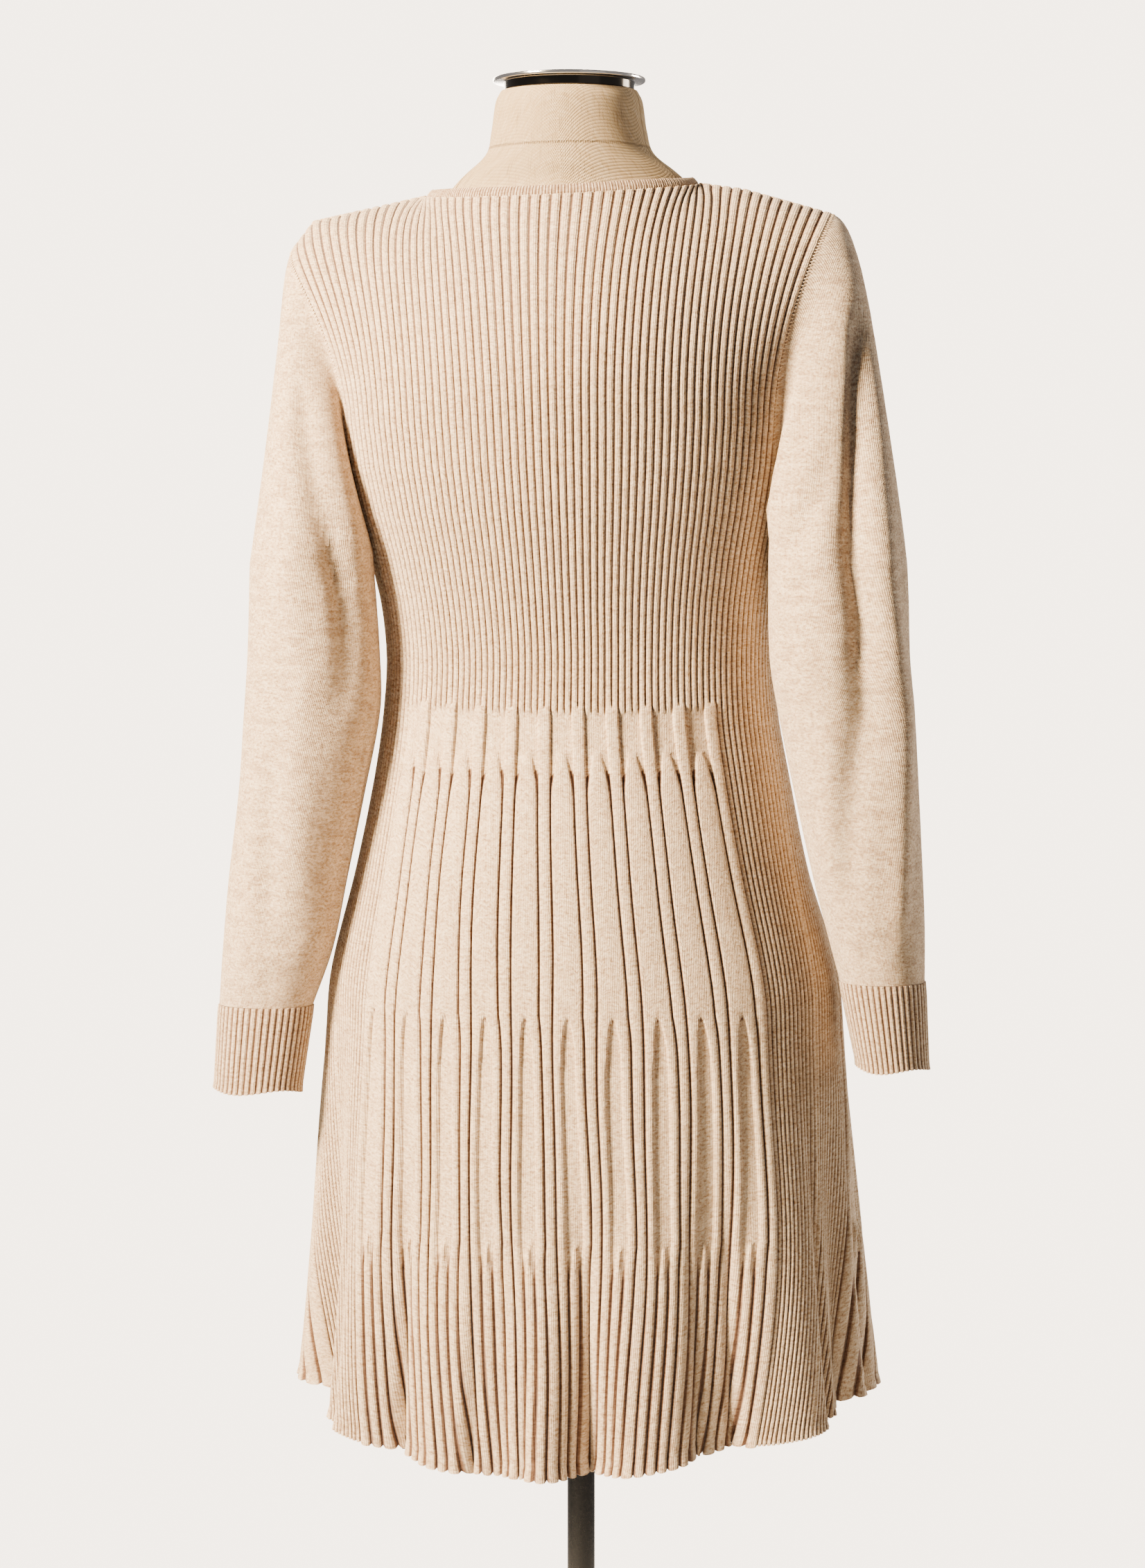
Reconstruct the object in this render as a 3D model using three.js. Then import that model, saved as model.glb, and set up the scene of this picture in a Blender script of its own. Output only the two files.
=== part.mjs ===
// A ribbed sweater dress on a limbless dress form with a pole and a round base.
// Millimetres. +Z is up, -Y is the back of the dress, +Y its front, and the origin is
// on the pole's axis at the floor.
import * as THREE from 'three';

// Knit and seams
const WALL = 1.5;
const SLEEVE_RISE = 0.5;
const SEAM_GAP = 0.3;
const RIB_HEIGHT = 1.5;
const PLEAT_HEIGHT = 2.6;

// Every rib has two columns of points, a groove and a crest
const COLUMNS_PER_GROUP = 10;
const SIDE_COLUMNS = 24;
const ARMHOLE_COLUMNS = 12;
const LINING_STEP = 4;
const BACK_GROUPS = 10;
const FRONT_GROUPS = 12;

// Horizontal sections of the dress below the armholes: half width, depth behind and
// before the pole, middle of the section, length round the back panel, width of its
// pleats, middle of its pattern
const SECTIONS = [
  { z: 480, half: 214, back: 132, front: 124, mid: 2, backArc: 396, pleats: 320, centre: 4 },
  { z: 630, half: 199, back: 128, front: 118, mid: 2, backArc: 395, pleats: 317, centre: 3 },
  { z: 785, half: 187, back: 124, front: 112, mid: 1, backArc: 396, pleats: 306, centre: 1 },
  { z: 830, half: 183, back: 121, front: 110, mid: 1, backArc: 396, pleats: 300, centre: 0 },
  { z: 905, half: 163, back: 114, front: 108, mid: 0, backArc: 380, pleats: 275, centre: -3 },
  { z: 973, half: 149, back: 103, front: 105, mid: 0, backArc: 362, pleats: 250, centre: -5 },
  { z: 1020, half: 141.5, back: 96, front: 102, mid: -1, backArc: 350, pleats: 236, centre: -6 },
  { z: 1062, half: 139, back: 93, front: 102, mid: -1.5, backArc: 346, pleats: 234, centre: -6 },
  { z: 1112, half: 144.5, back: 100, front: 112, mid: -3, backArc: 362, pleats: 245, centre: -7 },
  { z: 1180, half: 163.5, back: 116, front: 128, mid: -6, backArc: 400, pleats: 270, centre: -8 },
  { z: 1230, half: 170, back: 120, front: 131, mid: -8, backArc: 416, pleats: 281, centre: -9 },
];

// Soft folds of the skirt: where (degrees round from the middle of the back), half
// width in degrees, depth at the hem and the height where they begin
const FOLDS = [
  { at: -64, width: 12, depth: 30, top: 830 },
  { at: -48, width: 14, depth: -9, top: 850 },
  { at: -33, width: 9, depth: 10, top: 760 },
  { at: -12, width: 8, depth: 11, top: 700 },
  { at: -3, width: 7, depth: -6, top: 690 },
  { at: 6, width: 8, depth: 17, top: 720 },
  { at: 17, width: 9, depth: -6, top: 740 },
  { at: 34, width: 12, depth: 19, top: 800 },
  { at: 54, width: 12, depth: -8, top: 800 },
  { at: 72, width: 10, depth: 20, top: 780 },
  { at: 95, width: 14, depth: -6, top: 800 },
  { at: 118, width: 15, depth: 16, top: 800 },
  { at: 149, width: 13, depth: 12, top: 760 },
  { at: 180, width: 16, depth: 9, top: 780 },
  { at: 212, width: 14, depth: 14, top: 800 },
  { at: 246, width: 15, depth: 17, top: 810 },
];
const HEM_LEVEL = 480;

// Height of the hem at an angle in degrees round from the middle of the back. The
// dress is wider than deep, so its depth counts for more in the angle.
const WIDTH_TO_DEPTH = 1.65;
const HEM = [
  { at: -90, height: 531 },
  { at: -74, height: 531 },
  { at: -60, height: 520 },
  { at: -42, height: 505 },
  { at: -24, height: 492 },
  { at: -8, height: 489 },
  { at: 9, height: 492 },
  { at: 32, height: 505 },
  { at: 54, height: 516 },
  { at: 70, height: 528 },
  { at: 99, height: 536 },
  { at: 140, height: 522 },
  { at: 180, height: 508 },
  { at: 225, height: 511 },
  { at: 270, height: 531 },
];

// Heights of the rows of points, and the pleat state of each
const ROWS = [
  { z: 500, state: 'four bands', hem: true },
  { z: 629, state: 'four bands' },
  { z: 653, state: 'bands apart' },
  { z: 784, state: 'bands open' },
  { z: 812, state: 'bands part' },
  { z: 973, state: 'lancets' },
  { z: 995, state: 'lancet tips' },
  { z: 1019, state: 'recesses', rise: 7 },
  { z: 1026, state: 'ribs', rise: 7 },
  { z: 1100, state: 'ribs' },
  { z: 1178, state: 'ribs', armhole: true },
];
const ARMHOLE_RISE = 45;

// Where the nine inner columns of a group stand across it (0 to 1), and how far each is
// raised (0 groove, 1 crest). The tenth is the next group's first groove.
const STATES = {
  'ribs': {
    place: [0.1, 0.2, 0.3, 0.4, 0.5, 0.6, 0.7, 0.8, 0.9],
    raised: [1, 0, 1, 0, 1, 0, 1, 0, 1],
  },
  'recesses': {
    place: [0.1, 0.2, 0.31, 0.42, 0.52, 0.6, 0.66, 0.8, 0.94],
    raised: [0, 0, 0, 0, 0, 0, 1, 1.1, 1],
  },
  'lancet tips': {
    place: [0.28, 0.3, 0.32, 0.34, 0.36, 0.62, 0.68, 0.81, 0.94],
    raised: [0, 0, 0, 0, 0, 0, 1, 1.1, 1],
  },
  'lancets': {
    place: [0.07, 0.2, 0.33, 0.46, 0.58, 0.65, 0.71, 0.83, 0.94],
    raised: [0.9, 1.1, 1.15, 1.1, 0.9, 0, 0.9, 1.1, 0.9],
  },
  'bands part': {
    place: [0.1, 0.32, 0.34, 0.36, 0.6, 0.69, 0.75, 0.85, 0.94],
    raised: [1, 1, 1, 1, 1, 0, 0.9, 1.1, 0.9],
  },
  'bands open': {
    place: [0.12, 0.24, 0.38, 0.51, 0.63, 0.75, 0.8, 0.88, 0.95],
    raised: [1.1, 0, 0, 0, 1.1, 0, 0.9, 1.1, 0.9],
  },
  'bands apart': {
    place: [0.11, 0.22, 0.4, 0.57, 0.68, 0.78, 0.83, 0.89, 0.95],
    raised: [1.1, 0, 0, 0, 1.1, 0, 0.9, 1.1, 0.9],
  },
  'four bands': {
    place: [0.125, 0.25, 0.375, 0.5, 0.625, 0.75, 0.79, 0.875, 0.96],
    raised: [1.1, 0, 1, 0, 1.1, 0, 0.9, 1.1, 0.9],
  },
};

// Shoulders and neckline: the seam runs from each neck corner to its tip
const NECK = { x: -14, y: 2, z: 1391, half: 99, back: 60, front: 66, tilt: 3 };
const NECK_DROP = { back: 8.5, front: 42 };
const LEFT_SHOULDER = [new THREE.Vector3(-211, 2, 1352), new THREE.Vector3(-196, 2, 1371)];
const RIGHT_SHOULDER = [new THREE.Vector3(116, 2, 1389.5), new THREE.Vector3(180, 2, 1371)];
const NECK_STEPS = 40;

// The yoke climbs from the row at the armholes to the top edge: steps of the way, how
// far it first keeps its rise and its sideways run, and how it arrives
const YOKE_STEPS = [0.2, 0.42, 0.62, 0.82, 1];
const YOKE_RISE = 70;
const YOKE_SIDEWAYS = 0.2;
const SHOULDER_LEAN = { length: 50, degrees: 16 };
const NECK_LEAN = { length: 46, degrees: 62, before: 30, full: 0.85 };
const CORNER_REACH = 14;

// Sleeve sections: inner and outer x seen from the pole, depth of the centre, half
// depth and how many degrees the underarm line lies before the inner side
const SLEEVES = {
  right: {
    side: 1,
    reach: 29,
    slope: 10,
    sections: [
      { z: 1125, inner: 141, outer: 237, y: -47, half: 45, twist: 35 },
      { z: 1060, inner: 142, outer: 241, y: -46, half: 45, twist: 22 },
      { z: 1020, inner: 148, outer: 244, y: -43, half: 44, twist: 10 },
      { z: 960, inner: 160, outer: 247, y: -39, half: 42, twist: 4 },
      { z: 900, inner: 173, outer: 249, y: -34, half: 38, twist: 0 },
      { z: 864, inner: 182, outer: 250, y: -31, half: 35, twist: 0 },
      { z: 830, inner: 191, outer: 250, y: -29, half: 31, twist: 0 },
    ],
    cuff: [
      { z: 829.7, inner: 191, outer: 250, y: -29, half: 31, twist: 0 },
      { z: 769, inner: 203.5, outer: 252.5, y: -27, half: 31, twist: 0 },
    ],
  },
  left: {
    side: -1,
    reach: 15,
    slope: 14,
    sections: [
      { z: 1125, inner: 142, outer: 229, y: -56, half: 45, twist: 35 },
      { z: 1060, inner: 138, outer: 232, y: -54, half: 45, twist: 22 },
      { z: 1020, inner: 138.5, outer: 235.5, y: -51, half: 44, twist: 10 },
      { z: 960, inner: 151, outer: 241, y: -47, half: 42, twist: 4 },
      { z: 900, inner: 164, outer: 249, y: -45, half: 38, twist: 0 },
      { z: 848, inner: 175, outer: 254, y: -45, half: 34, twist: 0 },
      { z: 806.5, inner: 190, outer: 257.5, y: -44, half: 26, twist: 0 },
    ],
    cuff: [
      { z: 806.2, inner: 190, outer: 257.5, y: -44, half: 26, twist: 0 },
      { z: 744.5, inner: 200, outer: 261.5, y: -43, half: 24, twist: 0 },
    ],
  },
};
const CAP_STEPS = [0, 0.07, 0.2, 0.42, 0.68];
const UNDERARM_REACH = { along: 12, out: 17 };
const SLEEVE_HANDLE = { underarm: 22, shoulder: 90 };
const SLEEVE_EASE = 0.15;
const CUFF_RIBS = 44;
const CUFF_WALL = 1.2;
const CUFF_RIB_HEIGHT = 1.2;

// Neckband, which is lower and leans in more at the corners of the neck
const BAND = { height: 7, wall: 2, lean: 2.5, foot: 0.4, steps: 14 };
const BAND_CORNER = { height: -2, lean: 1.5, sharpness: 7 };

// Dress form: half width, depth behind and before, middle, roundness (2 is an ellipse)
const FORM = [
  { z: 770, half: 118, back: 76, front: 66, mid: 1, y: 4, round: 2 },
  { z: 778, half: 148, back: 98, front: 84, mid: 1, y: 2, round: 2 },
  { z: 800, half: 170, back: 112, front: 99, mid: 1, y: 0, round: 2 },
  { z: 850, half: 171, back: 112, front: 102, mid: 1, y: 0, round: 2 },
  { z: 905, half: 156, back: 106, front: 101, mid: 0, y: 0, round: 2 },
  { z: 973, half: 142, back: 96, front: 98, mid: 0, y: 0, round: 2 },
  { z: 1062, half: 134, back: 87, front: 95, mid: 0, y: 0, round: 2 },
  { z: 1112, half: 138, back: 92, front: 103, mid: -2, y: 0, round: 2 },
  { z: 1180, half: 152, back: 106, front: 118, mid: -6, y: 0, round: 2 },
  { z: 1250, half: 148, back: 100, front: 112, mid: -12, y: 0, round: 2 },
  { z: 1310, half: 148, back: 80, front: 88, mid: -13, y: 0, round: 1.8 },
  { z: 1345, half: 148, back: 64, front: 60, mid: -12, y: 0, round: 1.6 },
  { z: 1366, half: 140, back: 56, front: 52, mid: -10, y: 0, round: 1.5 },
  { z: 1377, half: 112, back: 50, front: 44, mid: -9, y: 0, round: 1.5 },
  { z: 1387.5, half: 93, back: 46, front: 40, mid: -8.5, y: 1, round: 1.5 },
  { z: 1398.5, half: 82.5, back: 45, front: 41, mid: -8, y: 1, round: 1.7 },
  { z: 1416, half: 61, back: 47, front: 46, mid: -8.5, y: 2, round: 2 },
  { z: 1432, half: 56, back: 49, front: 49, mid: -9, y: 2, round: 2 },
  { z: 1454, half: 52.5, back: 50, front: 50, mid: -9, y: 2, round: 2 },
  { z: 1461, half: 49, back: 46, front: 46, mid: -9, y: 2, round: 2 },
];
const FORM_COLUMNS = 28;

// Stand and cap
const ROUND_SEGMENTS = 32;
const POLE = { radius: 10, foot: 6.3, top: 829.7 };
const BORE_RADIUS = 10.3;
const BORE_TOP = 830;
const BASE = { radius: 180, side: 7, edge: 172, edgeTop: 12, boss: 22, bossFoot: 16, bossTop: 44 };
const BASE_FLOOR = 6;
const CAP = { x: -9, y: 2, z: 1461.3, seat: 46.5, rimFoot: 6.4, rim: 54.5, rimTop: 9 };
const CROWN = [
  { radius: 40, height: 11 },
  { radius: 20, height: 12 },
  { radius: 0, height: 12.2 },
];

function finish(name, metalness, roughness, color) {
  return new THREE.MeshStandardMaterial({ name, color, metalness, roughness });
}
const KNIT = finish('knit', 0, 0.9, 0xdec9ae);
const LINEN = finish('linen', 0, 0.85, 0xc9b393);
const CHROME = finish('chrome', 1, 0.15, 0xc8c8ca);
const BLACK_METAL = finish('black_metal', 0.6, 0.45, 0x16161a);

const part = new THREE.Group();
part.name = 'sweater_dress_on_form';

// Value of a table's column along a curve through its rows, which are ordered by height
// or by another column
function valueAt(rows, key, wanted, by = 'z') {
  const last = rows.length - 1;
  let i = 0;
  while (i < last - 1 && wanted > rows[i + 1][by]) i += 1;
  const slope = (k) => {
    const low = rows[Math.max(k - 1, 0)];
    const high = rows[Math.min(k + 1, last)];
    return (high[key] - low[key]) / (high[by] - low[by]);
  };
  const span = rows[i + 1][by] - rows[i][by];
  const t = Math.min(Math.max((wanted - rows[i][by]) / span, 0), 1);
  const from = rows[i][key] * (1 + 2 * t) * (1 - t) ** 2;
  const to = rows[i + 1][key] * t * t * (3 - 2 * t);
  const leave = slope(i) * span * t * (1 - t) ** 2;
  const arrive = slope(i + 1) * span * t * t * (t - 1);
  return from + to + leave + arrive;
}

// How far the skirt's folds push the cloth in, at an angle and a height
function foldDepth(degrees, z) {
  let depth = 0;
  for (const fold of FOLDS) {
    const turn = ((degrees - fold.at + 540) % 360) - 180;
    const across = Math.abs(turn / fold.width);
    const down = (fold.top - z) / (fold.top - HEM_LEVEL);
    if (across < 1 && down > 0) {
      depth += fold.depth * Math.min(down, 1) ** 1.3 * (0.5 + 0.5 * Math.cos(Math.PI * across));
    }
  }
  return depth;
}

// Horizontal section of the dress with the length along it. It runs twice round, from
// the front over the back, so that a panel that starts anywhere lies in one stretch.
const SECTION_STEP = 0.5;
const curves = new Map();
function sectionCurve(z) {
  const key = z.toFixed(1);
  if (curves.has(key)) return curves.get(key);
  const half = valueAt(SECTIONS, 'half', z);
  const back = valueAt(SECTIONS, 'back', z);
  const front = valueAt(SECTIONS, 'front', z);
  const mid = valueAt(SECTIONS, 'mid', z);
  const points = [];
  const lengths = [0];
  for (let degrees = -180; degrees <= 540; degrees += SECTION_STEP) {
    const angle = THREE.MathUtils.degToRad(degrees);
    const depth = Math.cos(angle) > 0 ? back : front;
    const normal = new THREE.Vector2(Math.sin(angle) / half, -Math.cos(angle) / depth).normalize();
    const push = foldDepth(degrees, z);
    const x = mid + half * Math.sin(angle) - normal.x * push;
    const y = -depth * Math.cos(angle) - normal.y * push;
    points.push(new THREE.Vector3(x, y, z));
  }
  for (let i = 1; i < points.length; i += 1) {
    lengths.push(lengths[i - 1] + points[i].distanceTo(points[i - 1]));
  }
  const centre = valueAt(SECTIONS, 'centre', z);
  const first = points.findIndex((point, i) => i * SECTION_STEP > 90 && point.x >= centre);
  const t = (centre - points[first - 1].x) / (points[first].x - points[first - 1].x);
  const start = lengths[first - 1] + t * (lengths[first] - lengths[first - 1]);
  const round = lengths[360 / SECTION_STEP];
  const curve = { points, lengths, start, round };
  curves.set(key, curve);
  return curve;
}

// Point of the dress at a length along the section from the middle of the back
function skinPoint(z, along) {
  const { points, lengths, start } = sectionCurve(z);
  const wanted = start + along;
  let low = 0;
  let high = lengths.length - 1;
  while (high - low > 1) {
    const middle = (low + high) >> 1;
    if (lengths[middle] < wanted) low = middle;
    else high = middle;
  }
  const t = (wanted - lengths[low]) / (lengths[high] - lengths[low]);
  return points[low].clone().lerp(points[high], t);
}

const NORMAL_REACH = { along: 2, up: 6 };
function skinNormal(z, along) {
  const { along: side, up: rise } = NORMAL_REACH;
  const across = skinPoint(z, along + side).sub(skinPoint(z, along - side));
  const up = skinPoint(z + rise, along).sub(skinPoint(z - rise, along));
  return across.cross(up).normalize();
}

// A panel's cut: how many pleat groups it has and where it lies round the section
const BACK = { front: false, groups: BACK_GROUPS };
const FRONT = { front: true, groups: FRONT_GROUPS };
for (const panel of [BACK, FRONT]) {
  panel.columns = panel.groups * COLUMNS_PER_GROUP + 2 * SIDE_COLUMNS;
}

function columnLength(panel, z, column, state) {
  const backArc = valueAt(SECTIONS, 'backArc', z);
  const backPleats = valueAt(SECTIONS, 'pleats', z);
  const sideWidth = (backArc - backPleats) / 2;
  const round = sectionCurve(z).round;
  const arc = (panel.front ? round - backArc : backArc) - SEAM_GAP;
  const inBodice = state === STATES.ribs;
  const evenSide = (arc * SIDE_COLUMNS) / panel.columns;
  const side = inBodice ? evenSide : Math.min(sideWidth, evenSide);
  const start = (panel.front ? round / 2 : 0) - arc / 2;
  if (column <= SIDE_COLUMNS) return start + (side * column) / SIDE_COLUMNS;
  const rest = panel.columns - column;
  if (rest <= SIDE_COLUMNS) return start + arc - (side * rest) / SIDE_COLUMNS;
  const inside = column - SIDE_COLUMNS;
  const group = Math.floor(inside / COLUMNS_PER_GROUP);
  const place = inside % COLUMNS_PER_GROUP;
  const across = group + (place === 0 ? 0 : state.place[place - 1]);
  return start + side + ((arc - 2 * side) * across) / panel.groups;
}

function columnRise(panel, column, state) {
  const inside = column - SIDE_COLUMNS;
  if (column <= SIDE_COLUMNS || panel.columns - column <= SIDE_COLUMNS) {
    const edge = column === 0 || column === panel.columns;
    return edge ? 0 : (column % 2) * RIB_HEIGHT;
  }
  const place = inside % COLUMNS_PER_GROUP;
  const raised = place === 0 ? 0 : state.raised[place - 1];
  return raised * (state === STATES.ribs ? RIB_HEIGHT : PLEAT_HEIGHT);
}

// Height of a row at a column: the first row follows the hem's table, the bodice ends
// in a shallow curve and the last row follows the lower curve of the armholes
function rowHeight(panel, row, column) {
  const middle = panel.columns / 2;
  const toSide = Math.abs(column - middle) / middle;
  if (row.hem) {
    const point = skinPoint(row.z, columnLength(panel, row.z, column, STATES[row.state]));
    const degrees = THREE.MathUtils.radToDeg(Math.atan2(point.x, -point.y * WIDTH_TO_DEPTH));
    return valueAt(HEM, 'height', degrees < -90 ? degrees + 360 : degrees, 'at');
  }
  if (row.armhole) {
    const inward = Math.min(Math.min(column, panel.columns - column) / ARMHOLE_COLUMNS, 1);
    return row.z + ARMHOLE_RISE * (1 - Math.sqrt(1 - inward ** 2));
  }
  return row.z + (row.rise ?? 0) * toSide ** 2;
}

// Top edge of a panel, from the tip of one shoulder over the neckline to the other
function neckPoint(panel, t) {
  const angle = (t - 0.5) * Math.PI;
  const drop = panel.front ? NECK_DROP.front : NECK_DROP.back;
  const depth = panel.front ? NECK.front : -NECK.back;
  return new THREE.Vector3(
    NECK.x + NECK.half * Math.sin(angle),
    NECK.y + (depth + Math.sign(depth) * SEAM_GAP / 2) * Math.cos(angle),
    NECK.z - drop * Math.cos(angle) + NECK.tilt * Math.sin(angle),
  );
}

function topEdge(panel) {
  const points = LEFT_SHOULDER.map((point) => point.clone());
  for (let i = 0; i <= NECK_STEPS; i += 1) points.push(neckPoint(panel, i / NECK_STEPS));
  for (const point of RIGHT_SHOULDER) points.push(point.clone());
  if (panel.front) points.reverse();
  const shift = panel.front ? SEAM_GAP / 2 : -SEAM_GAP / 2;
  for (const point of points) point.y += shift;
  return points;
}

// Points at even or given shares of a polyline's length
function shareOut(points, shares) {
  const lengths = [0];
  for (let i = 1; i < points.length; i += 1) {
    lengths.push(lengths[i - 1] + points[i].distanceTo(points[i - 1]));
  }
  return shares.map((share) => {
    const wanted = share * lengths[lengths.length - 1];
    let i = 1;
    while (i < lengths.length - 1 && lengths[i] < wanted) i += 1;
    const t = (wanted - lengths[i - 1]) / (lengths[i] - lengths[i - 1]);
    return points[i - 1].clone().lerp(points[i], t);
  });
}

function bezier(a, b, c, d, t) {
  const s = 1 - t;
  return a.clone().multiplyScalar(s * s * s)
    .addScaledVector(b, 3 * s * s * t)
    .addScaledVector(c, 3 * s * t * t)
    .addScaledVector(d, t * t * t);
}

// Direction in which the cloth leaves the top edge: level at the shoulders, steeper
// where it runs down from the neckline
function topLean(panel, point) {
  const widest = NECK.half + NECK_LEAN.before;
  const inward = 1 - Math.abs(point.x - NECK.x) / widest;
  const share = THREE.MathUtils.smoothstep(inward, 0, NECK_LEAN.full);
  const degrees = THREE.MathUtils.lerp(SHOULDER_LEAN.degrees, NECK_LEAN.degrees, share);
  const length = THREE.MathUtils.lerp(SHOULDER_LEAN.length, NECK_LEAN.length, share);
  const angle = THREE.MathUtils.degToRad(degrees);
  const outward = panel.front ? 1 : -1;
  return new THREE.Vector3(0, outward * length * Math.cos(angle), -length * Math.sin(angle));
}

// Spreads the sharp turns of a line of points over their neighbours, but keeps its ends
function soften(points, farthest) {
  return points.map((point, i) => {
    const reach = Math.min(Math.round(farthest), i, points.length - 1 - i);
    const sum = new THREE.Vector3();
    for (let k = i - reach; k <= i + reach; k += 1) sum.add(points[k]);
    return sum.divideScalar(2 * reach + 1);
  });
}

// Rows of plain points of a panel. The yoke's rows start at the armhole column.
function panelRows(panel) {
  const rows = ROWS.map((row) => {
    const points = [];
    const normals = [];
    for (let column = 0; column <= panel.columns; column += 1) {
      const z = rowHeight(panel, row, column);
      const along = columnLength(panel, z, column, STATES[row.state]);
      points.push(skinPoint(z, along));
      normals.push(skinNormal(z, along));
    }
    return { points, normals, state: STATES[row.state], first: 0 };
  });
  const base = rows[rows.length - 1];
  const below = rows[rows.length - 2];
  const first = ARMHOLE_COLUMNS;
  const last = panel.columns - ARMHOLE_COLUMNS;
  const shares = [];
  for (let column = first; column <= last; column += 1) {
    shares.push((column - first) / (last - first));
  }
  const start = base.points.slice(first, last + 1);
  const end = shareOut(topEdge(panel), shares);
  const leave = start.map((point, i) => {
    const climb = point.clone().sub(below.points[first + i]).normalize();
    climb.x *= YOKE_SIDEWAYS;
    return point.clone().addScaledVector(climb.normalize(), YOKE_RISE);
  });
  const lean = end.map((point) => point.clone().add(topLean(panel, point)));
  const arrive = soften(lean, CORNER_REACH);
  for (const step of YOKE_STEPS) {
    const points = start.map((point, i) => bezier(point, leave[i], arrive[i], end[i], step));
    const reach = CORNER_REACH * 4 * step * (1 - step);
    rows.push({ points: soften(points, reach), state: STATES.ribs, first });
  }
  return rows;
}

// Outward direction of a panel at a point of a row. On the shoulder seam it is the one
// that the back and the front share.
function panelNormal(rows, r, column) {
  const row = rows[r];
  if (row.normals) return row.normals[column];
  const at = (k, c) => {
    const other = rows[k];
    const highest = other.first + other.points.length - 1;
    return other.points[Math.min(Math.max(c, other.first), highest) - other.first];
  };
  const reach = LINING_STEP;
  const left = at(r, column - reach);
  const right = at(r, column + reach);
  const low = at(Math.max(r - 1, 0), column);
  const high = at(Math.min(r + 1, rows.length - 1), column);
  const here = row.points[column - row.first];
  const along = right.clone().sub(left);
  const up = high.clone().sub(here).normalize().add(here.clone().sub(low).normalize());
  const normal = along.cross(up);
  const onShoulder = Math.abs(here.x - NECK.x) > NECK.half - 1;
  if (r === rows.length - 1 && onShoulder) normal.y = 0;
  return normal.normalize();
}

// Collects points and triangles of one closed body
class Body {
  constructor() {
    this.points = [];
    this.faces = [];
  }

  add(point) {
    this.points.push(point.x, point.y, point.z);
    return this.points.length / 3 - 1;
  }

  quad(a, b, c, d) {
    this.faces.push(a, b, c, a, c, d);
  }

  // Closes the strip between two lines of points that run the same way; each entry
  // is [index, place], and the strip faces the side left of low to high
  zip(low, high) {
    let i = 0;
    let j = 0;
    while (i < low.length - 1 || j < high.length - 1) {
      const nextLow = i < low.length - 1 ? low[i + 1][1] : Infinity;
      const nextHigh = j < high.length - 1 ? high[j + 1][1] : Infinity;
      if (nextLow <= nextHigh) {
        this.faces.push(low[i][0], low[i + 1][0], high[j][0]);
        i += 1;
      } else {
        this.faces.push(low[i][0], high[j + 1][0], high[j][0]);
        j += 1;
      }
    }
  }

  mesh(name, material) {
    const geometry = new THREE.BufferGeometry();
    geometry.setAttribute('position', new THREE.Float32BufferAttribute(this.points, 3));
    geometry.setIndex(this.faces);
    geometry.computeVertexNormals();
    const mesh = new THREE.Mesh(geometry, material);
    mesh.name = name;
    return mesh;
  }
}

// A panel: ribbed outer points over a plain inside with fewer columns
function buildPanel(name, panel) {
  const body = new Body();
  const rows = panelRows(panel);
  const outer = [];
  const inner = [];
  rows.forEach((row, r) => {
    const out = [];
    const lining = [];
    row.points.forEach((point, i) => {
      const column = row.first + i;
      const normal = panelNormal(rows, r, column);
      const edge = i === 0 || i === row.points.length - 1;
      const rise = edge ? 0 : columnRise(panel, column, row.state);
      out.push([body.add(point.clone().addScaledVector(normal, rise)), column]);
      if (column % LINING_STEP === 0) {
        lining.push([body.add(point.clone().addScaledVector(normal, -WALL)), column]);
      }
    });
    outer.push(out);
    inner.push(lining);
  });
  const widest = ROWS.length - 1;
  const from = ARMHOLE_COLUMNS;
  const to = panel.columns - ARMHOLE_COLUMNS;
  const between = (line, a, b) => line.filter((entry) => entry[1] >= a && entry[1] <= b);
  const end = (line) => line[line.length - 1][0];
  for (let r = 0; r < rows.length - 1; r += 1) {
    const low = r < widest ? 0 : from;
    const high = r < widest ? panel.columns : to;
    const outLow = between(outer[r], low, high);
    const outHigh = between(outer[r + 1], low, high);
    const inLow = between(inner[r], low, high);
    const inHigh = between(inner[r + 1], low, high);
    body.zip(outLow, outHigh);
    body.zip(inHigh, inLow);
    body.quad(outLow[0][0], outHigh[0][0], inHigh[0][0], inLow[0][0]);
    body.quad(end(outLow), end(inLow), end(inHigh), end(outHigh));
  }
  const top = rows.length - 1;
  body.zip(inner[0], outer[0]);
  body.zip(outer[top], inner[top]);
  for (const [a, b] of [[0, from], [to, panel.columns]]) {
    body.zip(between(outer[widest], a, b), between(inner[widest], a, b));
  }
  part.add(body.mesh(name, KNIT));
  return rows;
}

// Edge of an armhole on one panel, from the underarm up to the shoulder's tip, with
// the direction that points out of the cloth and the one that leaves its edge
function armholeEdge(rows, panel, atStart) {
  const widest = ROWS.length - 1;
  const places = [];
  for (let i = 0; i < ARMHOLE_COLUMNS; i += LINING_STEP) {
    places.push([widest, atStart ? i : panel.columns - i]);
  }
  for (let r = widest; r < rows.length; r += 1) {
    places.push([r, atStart ? ARMHOLE_COLUMNS : panel.columns - ARMHOLE_COLUMNS]);
  }
  const spots = places.map(([r, column]) => {
    const row = rows[r];
    return { point: row.points[column - row.first], normal: panelNormal(rows, r, column) };
  });
  spots.forEach((spot, i) => {
    const before = spots[Math.max(i - 1, 0)].point;
    const after = spots[Math.min(i + 1, spots.length - 1)].point;
    const along = after.clone().sub(before).normalize();
    spot.away = along.cross(spot.normal).multiplyScalar(atStart ? -1 : 1).normalize();
  });
  return spots;
}

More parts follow.
